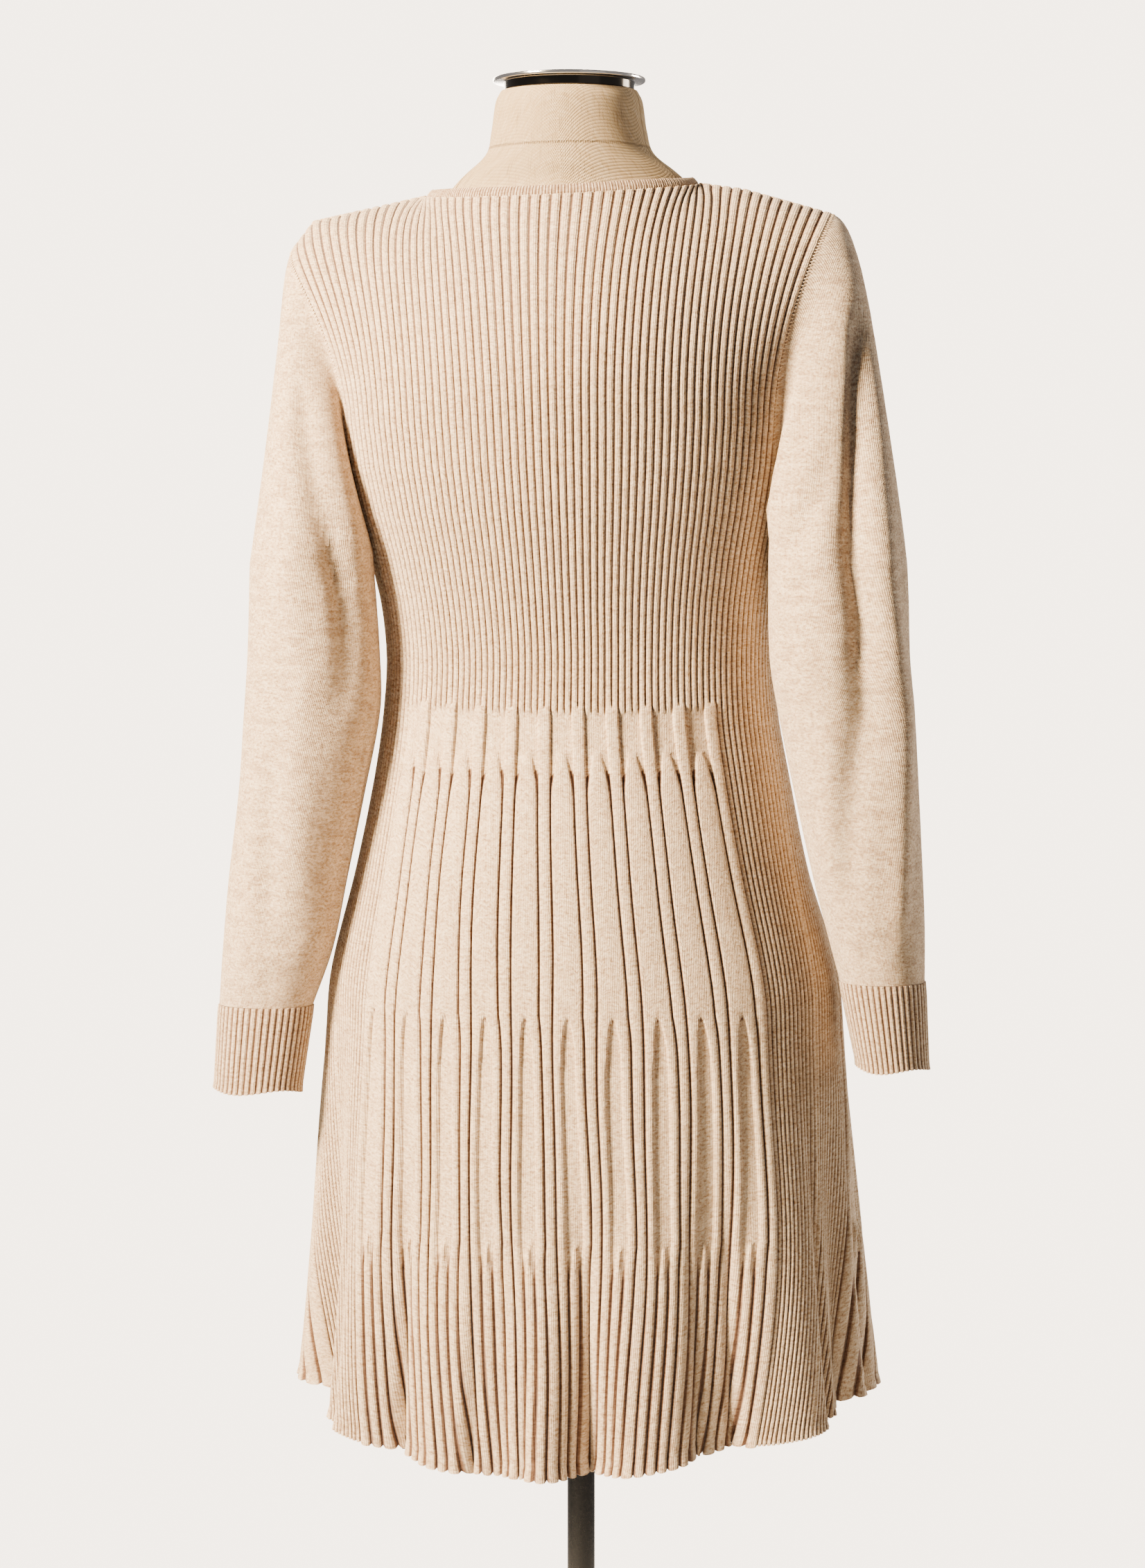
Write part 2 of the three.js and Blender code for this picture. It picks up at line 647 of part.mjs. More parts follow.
// Builds a tube from rings of outer and inner points that all have as many points
function buildTube(name, outerRings, innerRings, material) {
  const body = new Body();
  const index = (rings) => rings.map((ring) => ring.map((point) => body.add(point)));
  const outer = index(outerRings);
  const inner = index(innerRings);
  const wind = (low, high) => {
    for (let i = 0; i < low.length; i += 1) {
      const next = (i + 1) % low.length;
      body.quad(low[i], low[next], high[next], high[i]);
    }
  };
  for (let r = 0; r < outer.length - 1; r += 1) {
    wind(outer[r], outer[r + 1]);
    wind(inner[r + 1], inner[r]);
  }
  wind(inner[0], outer[0]);
  wind(outer[outer.length - 1], inner[inner.length - 1]);
  part.add(body.mesh(name, material));
}

function ellipsePoint(section, side, turn) {
  const centre = (section.inner + section.outer) / 2;
  const half = (section.outer - section.inner) / 2;
  const angle = turn - THREE.MathUtils.degToRad(section.twist);
  const x = side * (centre - half * Math.cos(angle));
  const y = section.y - section.half * Math.sin(angle);
  return new THREE.Vector3(x, y, section.z);
}

// Moves each point of a ring out along the tube's own surface normal
function ringNormals(rings, r, side) {
  const ring = rings[r];
  return ring.map((point, i) => {
    const next = ring[(i + 1) % ring.length];
    const before = ring[(i + ring.length - 1) % ring.length];
    const low = rings[Math.min(r + 1, rings.length - 1)][i];
    const high = rings[Math.max(r - 1, 0)][i];
    const along = next.clone().sub(before);
    const down = low.clone().sub(high);
    return along.cross(down).multiplyScalar(-side).normalize();
  });
}

// The one spot that stands for two that meet at a seam
function joinSpots(a, b) {
  return {
    point: a.point.clone().lerp(b.point, 0.5),
    normal: a.normal.clone().add(b.normal).normalize(),
    away: a.away.clone().add(b.away).normalize(),
  };
}

// A sleeve: set in round the armhole, over the biceps and down to the cuff
function buildSleeve(name, shape, backEdge, frontEdge) {
  const loop = [...backEdge, ...frontEdge.slice(1, -1).reverse()];
  const tipAt = backEdge.length - 1;
  loop[0] = joinSpots(backEdge[0], frontEdge[0]);
  loop[tipAt] = joinSpots(backEdge[tipAt], frontEdge[tipAt]);
  const lengths = [0];
  for (let i = 1; i <= loop.length; i += 1) {
    lengths.push(lengths[i - 1] + loop[i % loop.length].point.distanceTo(loop[i - 1].point));
  }
  const whole = lengths[loop.length];
  const toTip = lengths[tipAt];
  const turns = loop.map((spot, i) => {
    const back = lengths[i] <= toTip;
    const share = back ? lengths[i] / toTip : (lengths[i] - toTip) / (whole - toTip);
    return back ? Math.PI * share : Math.PI * (1 + share);
  });
  const biceps = shape.sections[0];
  const rings = CAP_STEPS.map((step) => loop.map((spot, i) => {
    const high = Math.sin(turns[i] / 2);
    const reach = THREE.MathUtils.lerp(UNDERARM_REACH.along, shape.reach, high ** 2);
    const start = spot.point.clone().addScaledVector(spot.away, SEAM_GAP + SLEEVE_EASE);
    const end = ellipsePoint(biceps, shape.side, turns[i]);
    const leave = start.clone().addScaledVector(spot.away, reach)
      .addScaledVector(spot.normal, UNDERARM_REACH.out * (1 - high) ** 2);
    const arrive = end.clone();
    arrive.z += THREE.MathUtils.lerp(SLEEVE_HANDLE.underarm, SLEEVE_HANDLE.shoulder, high ** 2);
    arrive.x -= shape.side * shape.slope * high ** 2;
    return bezier(start, leave, arrive, end, step);
  }));
  for (const section of shape.sections) {
    rings.push(turns.map((turn) => ellipsePoint(section, shape.side, turn)));
  }
  const outer = [];
  const inner = [];
  rings.forEach((ring, r) => {
    const normals = r === 0 ? loop.map((spot) => spot.normal) : ringNormals(rings, r, shape.side);
    outer.push(ring.map((point, i) => point.clone().addScaledVector(normals[i], SLEEVE_RISE)));
    inner.push(ring.map((point, i) => point.clone().addScaledVector(normals[i], -WALL)));
  });
  if (shape.side > 0) {
    outer.reverse();
    inner.reverse();
  }
  buildTube(name, outer, inner, KNIT);
}

// A cuff: ribbed outer points over a plain inside
function buildCuff(name, shape) {
  const count = CUFF_RIBS * 2;
  const body = new Body();
  const ring = (section, step, out) => {
    const line = [];
    for (let i = 0; i <= count; i += step) {
      if (i === count) {
        line.push([line[0][0], count]);
        break;
      }
      const turn = -shape.side * (i / count) * 2 * Math.PI;
      const point = ellipsePoint(section, shape.side, turn);
      const normal = new THREE.Vector3(-shape.side * Math.cos(turn), -Math.sin(turn), 0);
      line.push([body.add(point.addScaledVector(normal, out(i))), i]);
    }
    return line;
  };
  const crest = (i) => SLEEVE_RISE + (i % 2) * CUFF_RIB_HEIGHT;
  const lining = () => -CUFF_WALL;
  const [top, bottom] = shape.cuff;
  const outTop = ring(top, 1, crest);
  const outBottom = ring(bottom, 1, crest);
  const inTop = ring(top, LINING_STEP, lining);
  const inBottom = ring(bottom, LINING_STEP, lining);
  body.zip(outTop, outBottom);
  body.zip(inBottom, inTop);
  body.zip(outBottom, inBottom);
  body.zip(inTop, outTop);
  part.add(body.mesh(name, KNIT));
}

const backRows = buildPanel('back', BACK);
const frontRows = buildPanel('front', FRONT);
for (const [name, shape] of Object.entries(SLEEVES)) {
  const right = shape.side > 0;
  const backEdge = armholeEdge(backRows, BACK, !right);
  const frontEdge = armholeEdge(frontRows, FRONT, right);
  buildSleeve(`sleeve_${name}`, shape, backEdge, frontEdge);
  buildCuff(`cuff_${name}`, shape);
}

// Neckband: stands on the neckline and leans in
function buildNeckband() {
  const loop = [];
  const atCorner = [];
  for (const panel of [BACK, FRONT]) {
    for (let i = 0; i < BAND.steps; i += 1) {
      const t = i / BAND.steps;
      loop.push(neckPoint(panel, panel.front ? 1 - t : t));
      atCorner.push(Math.abs(Math.cos(t * Math.PI)) ** BAND_CORNER.sharpness);
    }
  }
  const centre = new THREE.Vector3(NECK.x, NECK.y, NECK.z);
  const ring = (share, inward) => loop.map((point, i) => {
    const toCentre = centre.clone().sub(point).setZ(0).normalize();
    const lean = share * (BAND.lean + BAND_CORNER.lean * atCorner[i]);
    const moved = point.clone().addScaledVector(toCentre, BAND.foot + inward + lean);
    moved.z += BAND.foot + share * (BAND.height + BAND_CORNER.height * atCorner[i]);
    return moved;
  });
  buildTube('neckband', [ring(0, 0), ring(1, 0)], [ring(0, BAND.wall), ring(1, BAND.wall)], KNIT);
}
buildNeckband();

// Dress form: rings round the torso and neck, closed at the neck, bored from below
function formRing(row) {
  const points = [];
  for (let i = 0; i < FORM_COLUMNS; i += 1) {
    const angle = (i / FORM_COLUMNS) * 2 * Math.PI;
    const sine = Math.sin(angle);
    const cosine = Math.cos(angle);
    const power = 2 / row.round;
    const depth = cosine > 0 ? row.back : row.front;
    const x = row.mid + row.half * Math.sign(sine) * Math.abs(sine) ** power;
    const y = row.y - depth * Math.sign(cosine) * Math.abs(cosine) ** power;
    points.push(new THREE.Vector3(x, y, row.z));
  }
  return points;
}

function buildForm() {
  const body = new Body();
  const bore = { half: BORE_RADIUS, back: BORE_RADIUS, front: BORE_RADIUS, mid: 0, y: 0, round: 2 };
  const rings = [
    { ...bore, z: BORE_TOP },
    { ...bore, z: FORM[0].z },
    ...FORM,
  ].map((row) => formRing(row).map((point) => body.add(point)));
  for (let r = 0; r < rings.length - 1; r += 1) {
    for (let i = 0; i < FORM_COLUMNS; i += 1) {
      const next = (i + 1) % FORM_COLUMNS;
      body.quad(rings[r][i], rings[r][next], rings[r + 1][next], rings[r + 1][i]);
    }
  }
  const neck = FORM[FORM.length - 1];
  const boreTop = body.add(new THREE.Vector3(0, 0, BORE_TOP));
  const neckTop = body.add(new THREE.Vector3(neck.mid, neck.y, neck.z));
  const last = rings.length - 1;
  for (let i = 0; i < FORM_COLUMNS; i += 1) {
    const next = (i + 1) % FORM_COLUMNS;
    body.faces.push(boreTop, rings[0][next], rings[0][i]);
    body.faces.push(neckTop, rings[last][i], rings[last][next]);
  }
  part.add(body.mesh('form_body', LINEN));
}
buildForm();

// Turned pieces: a profile of [radius, height] turned about an upright axis
function addTurned(name, profile, material, x = 0, y = 0, z = 0) {
  const points = profile.map(([radius, height]) => new THREE.Vector2(radius, height));
  const geometry = new THREE.LatheGeometry(points, ROUND_SEGMENTS);
  geometry.rotateX(Math.PI / 2);
  const mesh = new THREE.Mesh(geometry, material);
  mesh.name = name;
  mesh.position.set(x, y, z);
  part.add(mesh);
}

addTurned('neck_cap', [
  [0, 0],
  [CAP.seat, 0],
  [CAP.seat, CAP.rimFoot],
  [CAP.rim, CAP.rimFoot],
  [CAP.rim, CAP.rimTop],
  ...CROWN.map(({ radius, height }) => [radius, height]),
], CHROME, CAP.x, CAP.y, CAP.z);

addTurned('stand_pole', [
  [0, POLE.foot],
  [POLE.radius, POLE.foot],
  [POLE.radius, POLE.top],
  [0, POLE.top],
], BLACK_METAL);

addTurned('stand_base', [
  [0, 0],
  [BASE.radius, 0],
  [BASE.radius, BASE.side],
  [BASE.edge, BASE.edgeTop],
  [BASE.boss, BASE.bossFoot],
  [BASE.boss, BASE.bossTop],
  [BORE_RADIUS, BASE.bossTop],
  [BORE_RADIUS, BASE_FLOOR],
  [0, BASE_FLOOR],
], BLACK_METAL);

export default part;
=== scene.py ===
# %% [markdown]
# # A ribbed sweater dress on a dress form
# This lesson dresses a plain model of a knitted dress in Blender. The model gives the sizes
# and the places. Here each of its pieces is made again as fine knit, linen, chrome or
# painted steel. Blender works in metres, and a garment is easier to think of in millimetres,
# so the tables below are in millimetres and each piece is scaled as its mesh is made.

import math

import bpy
import numpy as np
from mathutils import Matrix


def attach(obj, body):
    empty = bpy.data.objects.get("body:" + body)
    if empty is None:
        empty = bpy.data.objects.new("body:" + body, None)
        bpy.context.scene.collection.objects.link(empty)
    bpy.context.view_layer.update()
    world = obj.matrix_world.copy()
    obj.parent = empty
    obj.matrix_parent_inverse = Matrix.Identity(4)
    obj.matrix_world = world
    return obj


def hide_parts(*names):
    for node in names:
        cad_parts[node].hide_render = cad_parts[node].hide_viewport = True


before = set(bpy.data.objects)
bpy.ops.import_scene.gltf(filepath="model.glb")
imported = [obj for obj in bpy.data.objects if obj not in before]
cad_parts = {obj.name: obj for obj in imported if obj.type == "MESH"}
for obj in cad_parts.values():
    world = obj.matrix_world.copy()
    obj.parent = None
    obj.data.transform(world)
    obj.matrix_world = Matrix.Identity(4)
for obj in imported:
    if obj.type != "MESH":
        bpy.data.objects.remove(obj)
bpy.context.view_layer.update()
MM = 0.001
print("CAD nodes:", ", ".join(sorted(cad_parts)))

# %% [markdown]
# ## The shape of the dress in tables
# The dress is described as a dressmaker measures it, by horizontal sections from the hem to
# the armholes. The skirt's soft folds are troughs pushed into those sections, and narrow
# creases run down between them, where two bands are pinched together. A section's value
# between two rows of a table lies on a smooth curve through them, because knit has no corners.

# %% Sections, folds and hem
SECTIONS = {
    "z": [480, 630, 785, 830, 905, 973, 1020, 1062, 1112, 1180, 1230],
    "half": [214, 199, 187, 183, 163, 149, 141.5, 139, 144.5, 163.5, 170],
    "back": [132, 128, 124, 121, 114, 103, 96, 93, 100, 116, 120],
    "front": [124, 118, 112, 110, 108, 105, 102, 102, 112, 128, 131],
    "mid": [2, 2, 1, 1, 0, 0, -1, -1.5, -3, -6, -8],
    "backArc": [396, 395, 396, 396, 380, 362, 350, 346, 362, 400, 416],
    "pleats": [320, 317, 306, 300, 275, 250, 236, 234, 245, 270, 281],
    "centre": [4, 3, 1, 0, -3, -5, -6, -6, -7, -8, -9],
}
FOLDS = {
    "at": [-64, -48, -33, -12, -3, 6, 17, 34, 54, 72, 95, 118, 149, 180, 212, 246],
    "width": [12, 14, 9, 8, 7, 8, 9, 12, 12, 10, 14, 15, 13, 16, 14, 15],
    "depth": [30, -9, 10, 11, -6, 17, -6, 19, -8, 20, -6, 16, 12, 9, 14, 17],
    "top": [830, 850, 760, 700, 690, 720, 740, 800, 800, 780, 800, 800, 760, 780, 800, 810],
}
CREASES = {
    "at": [-52, -34, -17, -6, 6.5, 28, 37, 62, 84, 122, 151, 188, 219, 251],
    "width": [3, 2.8, 2.6, 2.6, 3, 2.8, 2.8, 3, 4, 4, 4, 4, 4, 4],
    "depth": [7, 9, 8, 7, 13, 9, 9, 9, 7, 7, 6, 6, 7, 6],
    "top": [760, 720, 650, 610, 700, 690, 760, 800, 760, 780, 740, 760, 780, 790],
}
HEM = {
    "at": [-90, -74, -60, -42, -24, -8, 9, 32, 54, 70, 99, 140, 180, 225, 270],
    "height": [531, 531, 520, 505, 492, 489, 492, 505, 516, 528, 536, 522, 508, 511, 531],
}
HEM_LEVEL = 480
WIDTH_TO_DEPTH = 1.65


def value_at(table, key, wanted, by="z"):
    """Values of a table's column at the wanted places, on a smooth curve through its rows."""
    places = np.array(table[by], float)
    values = np.array(table[key], float)
    wanted = np.asarray(wanted, float)
    last = len(places) - 1
    i = np.clip(np.searchsorted(places, wanted) - 1, 0, last - 1)
    before = np.maximum(np.arange(last + 1) - 1, 0)
    after = np.minimum(np.arange(last + 1) + 1, last)
    slope = (values[after] - values[before]) / (places[after] - places[before])
    span = places[i + 1] - places[i]
    t = np.clip((wanted - places[i]) / span, 0, 1)
    start = values[i] * (1 + 2 * t) * (1 - t) ** 2
    end = values[i + 1] * t * t * (3 - 2 * t)
    leave = slope[i] * span * t * (1 - t) ** 2
    arrive = slope[i + 1] * span * t * t * (t - 1)
    return start + end + leave + arrive


def fold_depth(table, degrees, z):
    """How far the skirt's folds or creases push the cloth in."""
    depth = np.zeros_like(degrees)
    for at, width, deep, top in zip(*table.values()):
        across = np.abs((degrees - at + 540) % 360 - 180) / width
        down = np.clip((top - z) / (top - HEM_LEVEL), 0, 1)
        trough = 0.5 + 0.5 * np.cos(np.pi * np.minimum(across, 1))
        depth += deep * down**1.3 * trough
    return depth


print("waist, mm:", 2 * SECTIONS["half"][7], "wide")

# %% [markdown]
# ## Walking round a section
# Ribs are spaced by the length of the cloth and not by an angle, so every section is
# measured along its edge once, and kept in a table that any height and length can be read
# from. This is what lets thousands of ribbed points be placed quickly.

# %% Measure every section
LEVEL_STEP = 2.0
LEVELS = np.arange(470, 1252, LEVEL_STEP)
REACH = np.arange(-450, 1250, 1.0)


def measure_sections():
    """Points of the dress at each level and length, and the length all round."""
    skin = np.zeros((len(LEVELS), len(REACH), 2))
    round_length = np.zeros(len(LEVELS))
    degrees = np.arange(-180, 540.1, 0.5)
    angle = np.radians(degrees)
    for row, z in enumerate(LEVELS):
        half, mid = value_at(SECTIONS, "half", z), value_at(SECTIONS, "mid", z)
        back, front = value_at(SECTIONS, "back", z), value_at(SECTIONS, "front", z)
        depth = np.where(np.cos(angle) > 0, back, front)
        outward = np.stack([np.sin(angle) / half, -np.cos(angle) / depth])
        outward /= np.linalg.norm(outward, axis=0)
        push = fold_depth(FOLDS, degrees, z)
        x = mid + half * np.sin(angle) - outward[0] * push
        y = -depth * np.cos(angle) - outward[1] * push
        lengths = np.concatenate([[0], np.cumsum(np.hypot(np.diff(x), np.diff(y)))])
        crease = fold_depth(CREASES, degrees, z)
        near = (degrees > -90) & (degrees < 90)
        start = np.interp(value_at(SECTIONS, "centre", z), x[near], lengths[near])
        skin[row, :, 0] = np.interp(REACH + start, lengths, x - outward[0] * crease)
        skin[row, :, 1] = np.interp(REACH + start, lengths, y - outward[1] * crease)
        round_length[row] = lengths[720]
    return skin, round_length


SKIN, ROUND_LENGTH = measure_sections()


def skin_point(z, along):
    """Point of the dress at a height and a length from the middle of the back."""
    row = (z - LEVELS[0]) / LEVEL_STEP
    column = along - REACH[0]
    r = np.clip(np.floor(row).astype(int), 0, len(LEVELS) - 2)
    c = np.clip(np.floor(column).astype(int), 0, len(REACH) - 2)
    t, s = (row - r)[..., None], (column - c)[..., None]
    low = SKIN[r, c] * (1 - s) + SKIN[r, c + 1] * s
    high = SKIN[r + 1, c] * (1 - s) + SKIN[r + 1, c + 1] * s
    return np.concatenate([low * (1 - t) + high * t, z[..., None]], -1)


def unit(vectors):
    """The vectors at length one."""
    return vectors / np.maximum(np.linalg.norm(vectors, axis=-1, keepdims=True), 1e-9)


def skin_normal(z, along):
    """Outward direction of the dress."""
    across = skin_point(z, along + 2) - skin_point(z, along - 2)
    up = skin_point(z + 6, along) - skin_point(z - 6, along)
    return unit(np.cross(across, up))


print("hem, mm round:", round(ROUND_LENGTH[5]), " waist:", round(ROUND_LENGTH[296]))

# %% [markdown]
# ## The rib pattern
# The bodice is knitted in even ribs. At the waist they turn into pleats: in each group of
# five ribs a flat recess opens beside a raised band, a pointed lancet grows in the recess,
# and lower down it parts into two bands. Each state of the pattern says where the columns
# of a group stand and how far each is raised, and the knit between two states is a mix.

# %% States of the pattern and the rows where they hold
RIB_HEIGHT = 1.5
PLEAT_HEIGHT = 2.6
WALL = 1.5
SEAM_GAP = 0.1
GROUP = 10
SIDE = 24
ARMHOLE = 12
FINE = 0.4
IN_GROUP = round(GROUP / FINE)
EDGE = 1.5
ROUNDNESS = 0.38
GROOVE_SHADE_REACH = {"z": [570, 625], "mm": [5.2, 2.7]}
STATES = {
    "ribs": {
        "place": [0.1, 0.2, 0.3, 0.4, 0.5, 0.6, 0.7, 0.8, 0.9],
        "raised": [1, 0, 1, 0, 1, 0, 1, 0, 1],
    },
    "recesses": {
        "place": [0.1, 0.2, 0.31, 0.42, 0.52, 0.6, 0.66, 0.8, 0.94],
        "raised": [0, 0, 0, 0, 0, 0, 1, 1.1, 1],
    },
    "lancet tips": {
        "place": [0.28, 0.3, 0.32, 0.34, 0.36, 0.62, 0.68, 0.81, 0.94],
        "raised": [0, 0, 0, 0, 0, 0, 1, 1.1, 1],
    },
    "lancets": {
        "place": [0.07, 0.2, 0.33, 0.46, 0.58, 0.65, 0.71, 0.83, 0.94],
        "raised": [0.9, 1.1, 1.15, 1.1, 0.9, 0, 0.9, 1.1, 0.9],
    },
    "bands part": {
        "place": [0.1, 0.32, 0.34, 0.36, 0.6, 0.69, 0.75, 0.85, 0.94],
        "raised": [1, 1, 1, 1, 1, 0, 0.9, 1.1, 0.9],
    },
    "bands open": {
        "place": [0.12, 0.24, 0.38, 0.51, 0.63, 0.75, 0.8, 0.88, 0.95],
        "raised": [1.1, 0, 0, 0, 1.1, 0, 0.9, 1.1, 0.9],
    },
    "bands apart": {
        "place": [0.11, 0.22, 0.4, 0.57, 0.68, 0.78, 0.83, 0.89, 0.95],
        "raised": [1.1, 0, 0, 0, 1.1, 0, 0.9, 1.1, 0.9],
    },
    "four bands": {
        "place": [0.125, 0.25, 0.375, 0.5, 0.625, 0.75, 0.79, 0.875, 0.96],
        "raised": [1.1, 0, 1, 0, 1.1, 0, 0.9, 1.1, 0.9],
    },
}
ROWS = [
    {"z": 500, "state": "four bands", "steps": 17},
    {"z": 629, "state": "four bands", "steps": 10, "tip": True},
    {"z": 653, "state": "bands apart", "steps": 13},
    {"z": 784, "state": "bands open", "steps": 10, "tip": True},
    {"z": 812, "state": "bands part", "steps": 15},
    {"z": 961, "state": "lancets", "steps": 16, "tip": True},
    {"z": 995, "state": "lancet tips", "steps": 4},
    {"z": 1019, "state": "recesses", "steps": 3},
    {"z": 1026, "state": "ribs", "steps": 6},
    {"z": 1100, "state": "ribs", "steps": 4},
    {"z": 1178, "state": "ribs", "steps": 0},
]
WAIST_CURVE = 7
ARMHOLE_RISE = 45
BACK = {"front": False, "groups": 10}
FRONT = {"front": True, "groups": 12}
for panel in (BACK, FRONT):
    panel["columns"] = panel["groups"] * GROUP + 2 * SIDE
    panel["c"] = np.arange(round(panel["columns"] / FINE) + 1) * FINE


def column_length(panel, z, place, bodice):
    """Length round the dress of each fine column, from the places of one group's.

    bodice goes from 0, pleats, to 1, ribs."""
    c = panel["c"]
    back_arc = value_at(SECTIONS, "backArc", z)
    all_round = np.interp(z, LEVELS, ROUND_LENGTH)
    arc = (all_round - back_arc if panel["front"] else back_arc) - SEAM_GAP
    even = arc * SIDE / panel["columns"]
    pleated = np.minimum((back_arc - value_at(SECTIONS, "pleats", z)) / 2, even)
    side = pleated + (even - pleated) * bodice
    start = (all_round / 2 if panel["front"] else 0) - arc / 2
    inside = np.clip(np.round((c - SIDE) / FINE).astype(int), 0, panel["groups"] * IN_GROUP)
    group = np.minimum(inside // IN_GROUP, panel["groups"] - 1)
    across = group + np.append(place, 1)[inside - IN_GROUP * group]
    rest = panel["columns"] - c
    middle = start + side + (arc - 2 * side) * across / panel["groups"]
    left = start + side * c / SIDE
    right = start + arc - side * rest / SIDE
    return np.where(c <= SIDE, left, np.where(rest <= SIDE, right, middle))


def rounded(a, b, share):
    """Height on the way from a to b: steep beside the lower one and round at the top."""
    up = a + (b - a) * np.sin(np.pi / 2 * share) ** ROUNDNESS
    down = b + (a - b) * np.cos(np.pi / 2 * share) ** ROUNDNESS
    return np.where(b >= a, up, down)


def whole_columns(name):
    """Places of a group's whole columns and their heights in mm."""
    state = STATES[name]
    scale = RIB_HEIGHT if name == "ribs" else PLEAT_HEIGHT
    return np.array([0] + state["place"] + [1]), np.array([0] + state["raised"] + [0]) * scale


def fine_columns(place, heights, moving=None, width=0, crisp=0):
    """Places and heights of one group's fine columns.

    Beside a moving column, one that rises or sinks where a lancet or a band begins, the
    fine columns are drawn together, so that its edge is crisp."""
    c = np.arange(IN_GROUP) * FINE
    i = np.floor(c + 1e-6).astype(int)
    f = np.clip(c - i, 0, 1)
    start, end, low, high = place[i], place[i + 1], heights[i], heights[i + 1]
    plain = start + (end - start) * f
    rise = rounded(low, high, f)
    if moving is None:
        return plain, rise
    edge = np.minimum(EDGE / width, end - start)
    share = np.clip((end - start) * width / EDGE - 1, 0, 1) * crisp
    to_end, to_start = moving[i + 1] & ~moving[i], moving[i] & ~moving[i + 1]
    first = np.where(i % 2 == 0, 0.4, 0.2)
    forward = np.clip((f - first) / (1 - first), 0, 1)
    ahead = np.where(f < 1e-6, start, end - (1 - forward) * edge)
    first = 0.6 - first
    backward = np.clip((1 - f - first) / (1 - first), 0, 1)
    behind = start + (1 - backward) * edge
    drawn = np.where(to_end, ahead, np.where(to_start, behind, plain))
    taken = np.where(to_end, rounded(low, high, forward), rise)
    taken = np.where(to_start, rounded(high, low, backward), taken)
    return plain + (drawn - plain) * share, rise + (taken - rise) * share


def whole_row(panel, group):
    """Heights right across a panel: a side's ribs, the groups and the other side's ribs."""
    c = np.arange(round(SIDE / FINE) + 1) * FINE
    i = np.floor(c + 1e-6).astype(int)
    side = rounded(i % 2 * RIB_HEIGHT, (i + 1) % 2 * RIB_HEIGHT, np.clip(c - i, 0, 1))
    return np.concatenate([side[:-1], np.tile(group, panel["groups"]), side[::-1]])


def on_top(heights, along, z):
    """Mask for the painted groove shade: 1 on the ribs and on flat ground, less in narrow grooves,
    below 0 beside the pleats.
    """
    banks = []
    reach = np.interp(z, *GROOVE_SHADE_REACH.values())
    for way in (1, -1):
        bank = heights.copy()
        for step in range(1, 9):
            near = np.abs(np.roll(along, way * step, axis=1) - along) < reach
            bank = np.where(near, np.maximum(bank, np.roll(heights, way * step, axis=1)), bank)
        banks.append(bank)
    return 1 - np.clip((np.minimum(*banks) - heights) / RIB_HEIGHT, 0, 2)


def row_height(panel, row):
    """Height of each column at one of the rows."""
    name, z = row["state"], row["z"]
    c = panel["c"]
    place, _ = fine_columns(*whole_columns(name))
    toward_side = np.abs(c / panel["columns"] * 2 - 1)
    if row is ROWS[0]:
        along = column_length(panel, np.full(len(c), float(z)), place, name == "ribs")
        point = skin_point(np.full(len(c), float(z)), along)
        degrees = np.degrees(np.arctan2(point[:, 0], -point[:, 1] * WIDTH_TO_DEPTH))
        return value_at(HEM, "height", np.where(degrees < -90, degrees + 360, degrees), "at")
    if row is ROWS[-1]:
        inward = np.minimum(np.minimum(c, panel["columns"] - c) / ARMHOLE, 1)
        return z + ARMHOLE_RISE * (1 - np.sqrt(1 - inward**2))
    if z in (1019, 1026):
        return z + WAIST_CURVE * toward_side**2
    return np.full(len(c), float(z))


print("ribs round the bodice:", (BACK["columns"] + FRONT["columns"]) // 2)

# %% [markdown]
# ## Shoulders
# Above the armholes the sections end and the cloth climbs to the shoulder seam and the
# neckline. Each rib follows its own curve from the last row up to its place on the top
# edge, so the ribs fan out at the shoulders as they do on the real dress.

# %% Top edge of a panel and the way up to it
NECK = {"x": -14, "y": 2, "z": 1391, "half": 99, "back": 60, "front": 66, "tilt": 3}
NECK_DROP = {"back": 8.5, "front": 42}
LEFT_SHOULDER = [(-211, 2, 1352), (-196, 2, 1371)]
RIGHT_SHOULDER = [(116, 2, 1389.5), (180, 2, 1371)]
YOKE_ROWS = 18
YOKE_RISE = 70
YOKE_SIDEWAYS = 0.2
SHOULDER_LEAN = {"length": 50, "degrees": 16}
NECK_LEAN = {"length": 46, "degrees": 62, "before": 30, "full": 0.85}
CORNER_REACH = 14


def neck_point(front, t):
    """Points of the neckline, from its left corner to its right one."""
    angle = (np.asarray(t) - 0.5) * np.pi
    depth = NECK["front"] if front else -NECK["back"]
    drop = NECK_DROP["front" if front else "back"]
    x = NECK["x"] + NECK["half"] * np.sin(angle)
    y = NECK["y"] + (depth + np.sign(depth) * SEAM_GAP / 2) * np.cos(angle)
    z = NECK["z"] - drop * np.cos(angle) + NECK["tilt"] * np.sin(angle)
    return np.stack([x, y, z], -1)


def share_out(points, shares):
    """Points at the shares of a line's length."""
    steps = np.linalg.norm(np.diff(points, axis=0), axis=1)
    lengths = np.concatenate([[0], np.cumsum(steps)])
    wanted = np.asarray(shares) * lengths[-1]
    return np.stack([np.interp(wanted, lengths, points[:, k]) for k in range(3)], -1)


def top_edge(panel):
    """From one shoulder's tip over the neckline to the other."""
    neck = neck_point(panel["front"], np.linspace(0, 1, 41))
    points = np.vstack([LEFT_SHOULDER, neck, RIGHT_SHOULDER]).astype(float)
    points[:, 1] += SEAM_GAP / 2 if panel["front"] else -SEAM_GAP / 2
    return points[::-1] if panel["front"] else points


def bezier(a, b, c, d, t):
    """Points of a curve with two handles."""
    s = 1 - t
    return a * s**3 + b * 3 * s * s * t + c * 3 * s * t * t + d * t**3


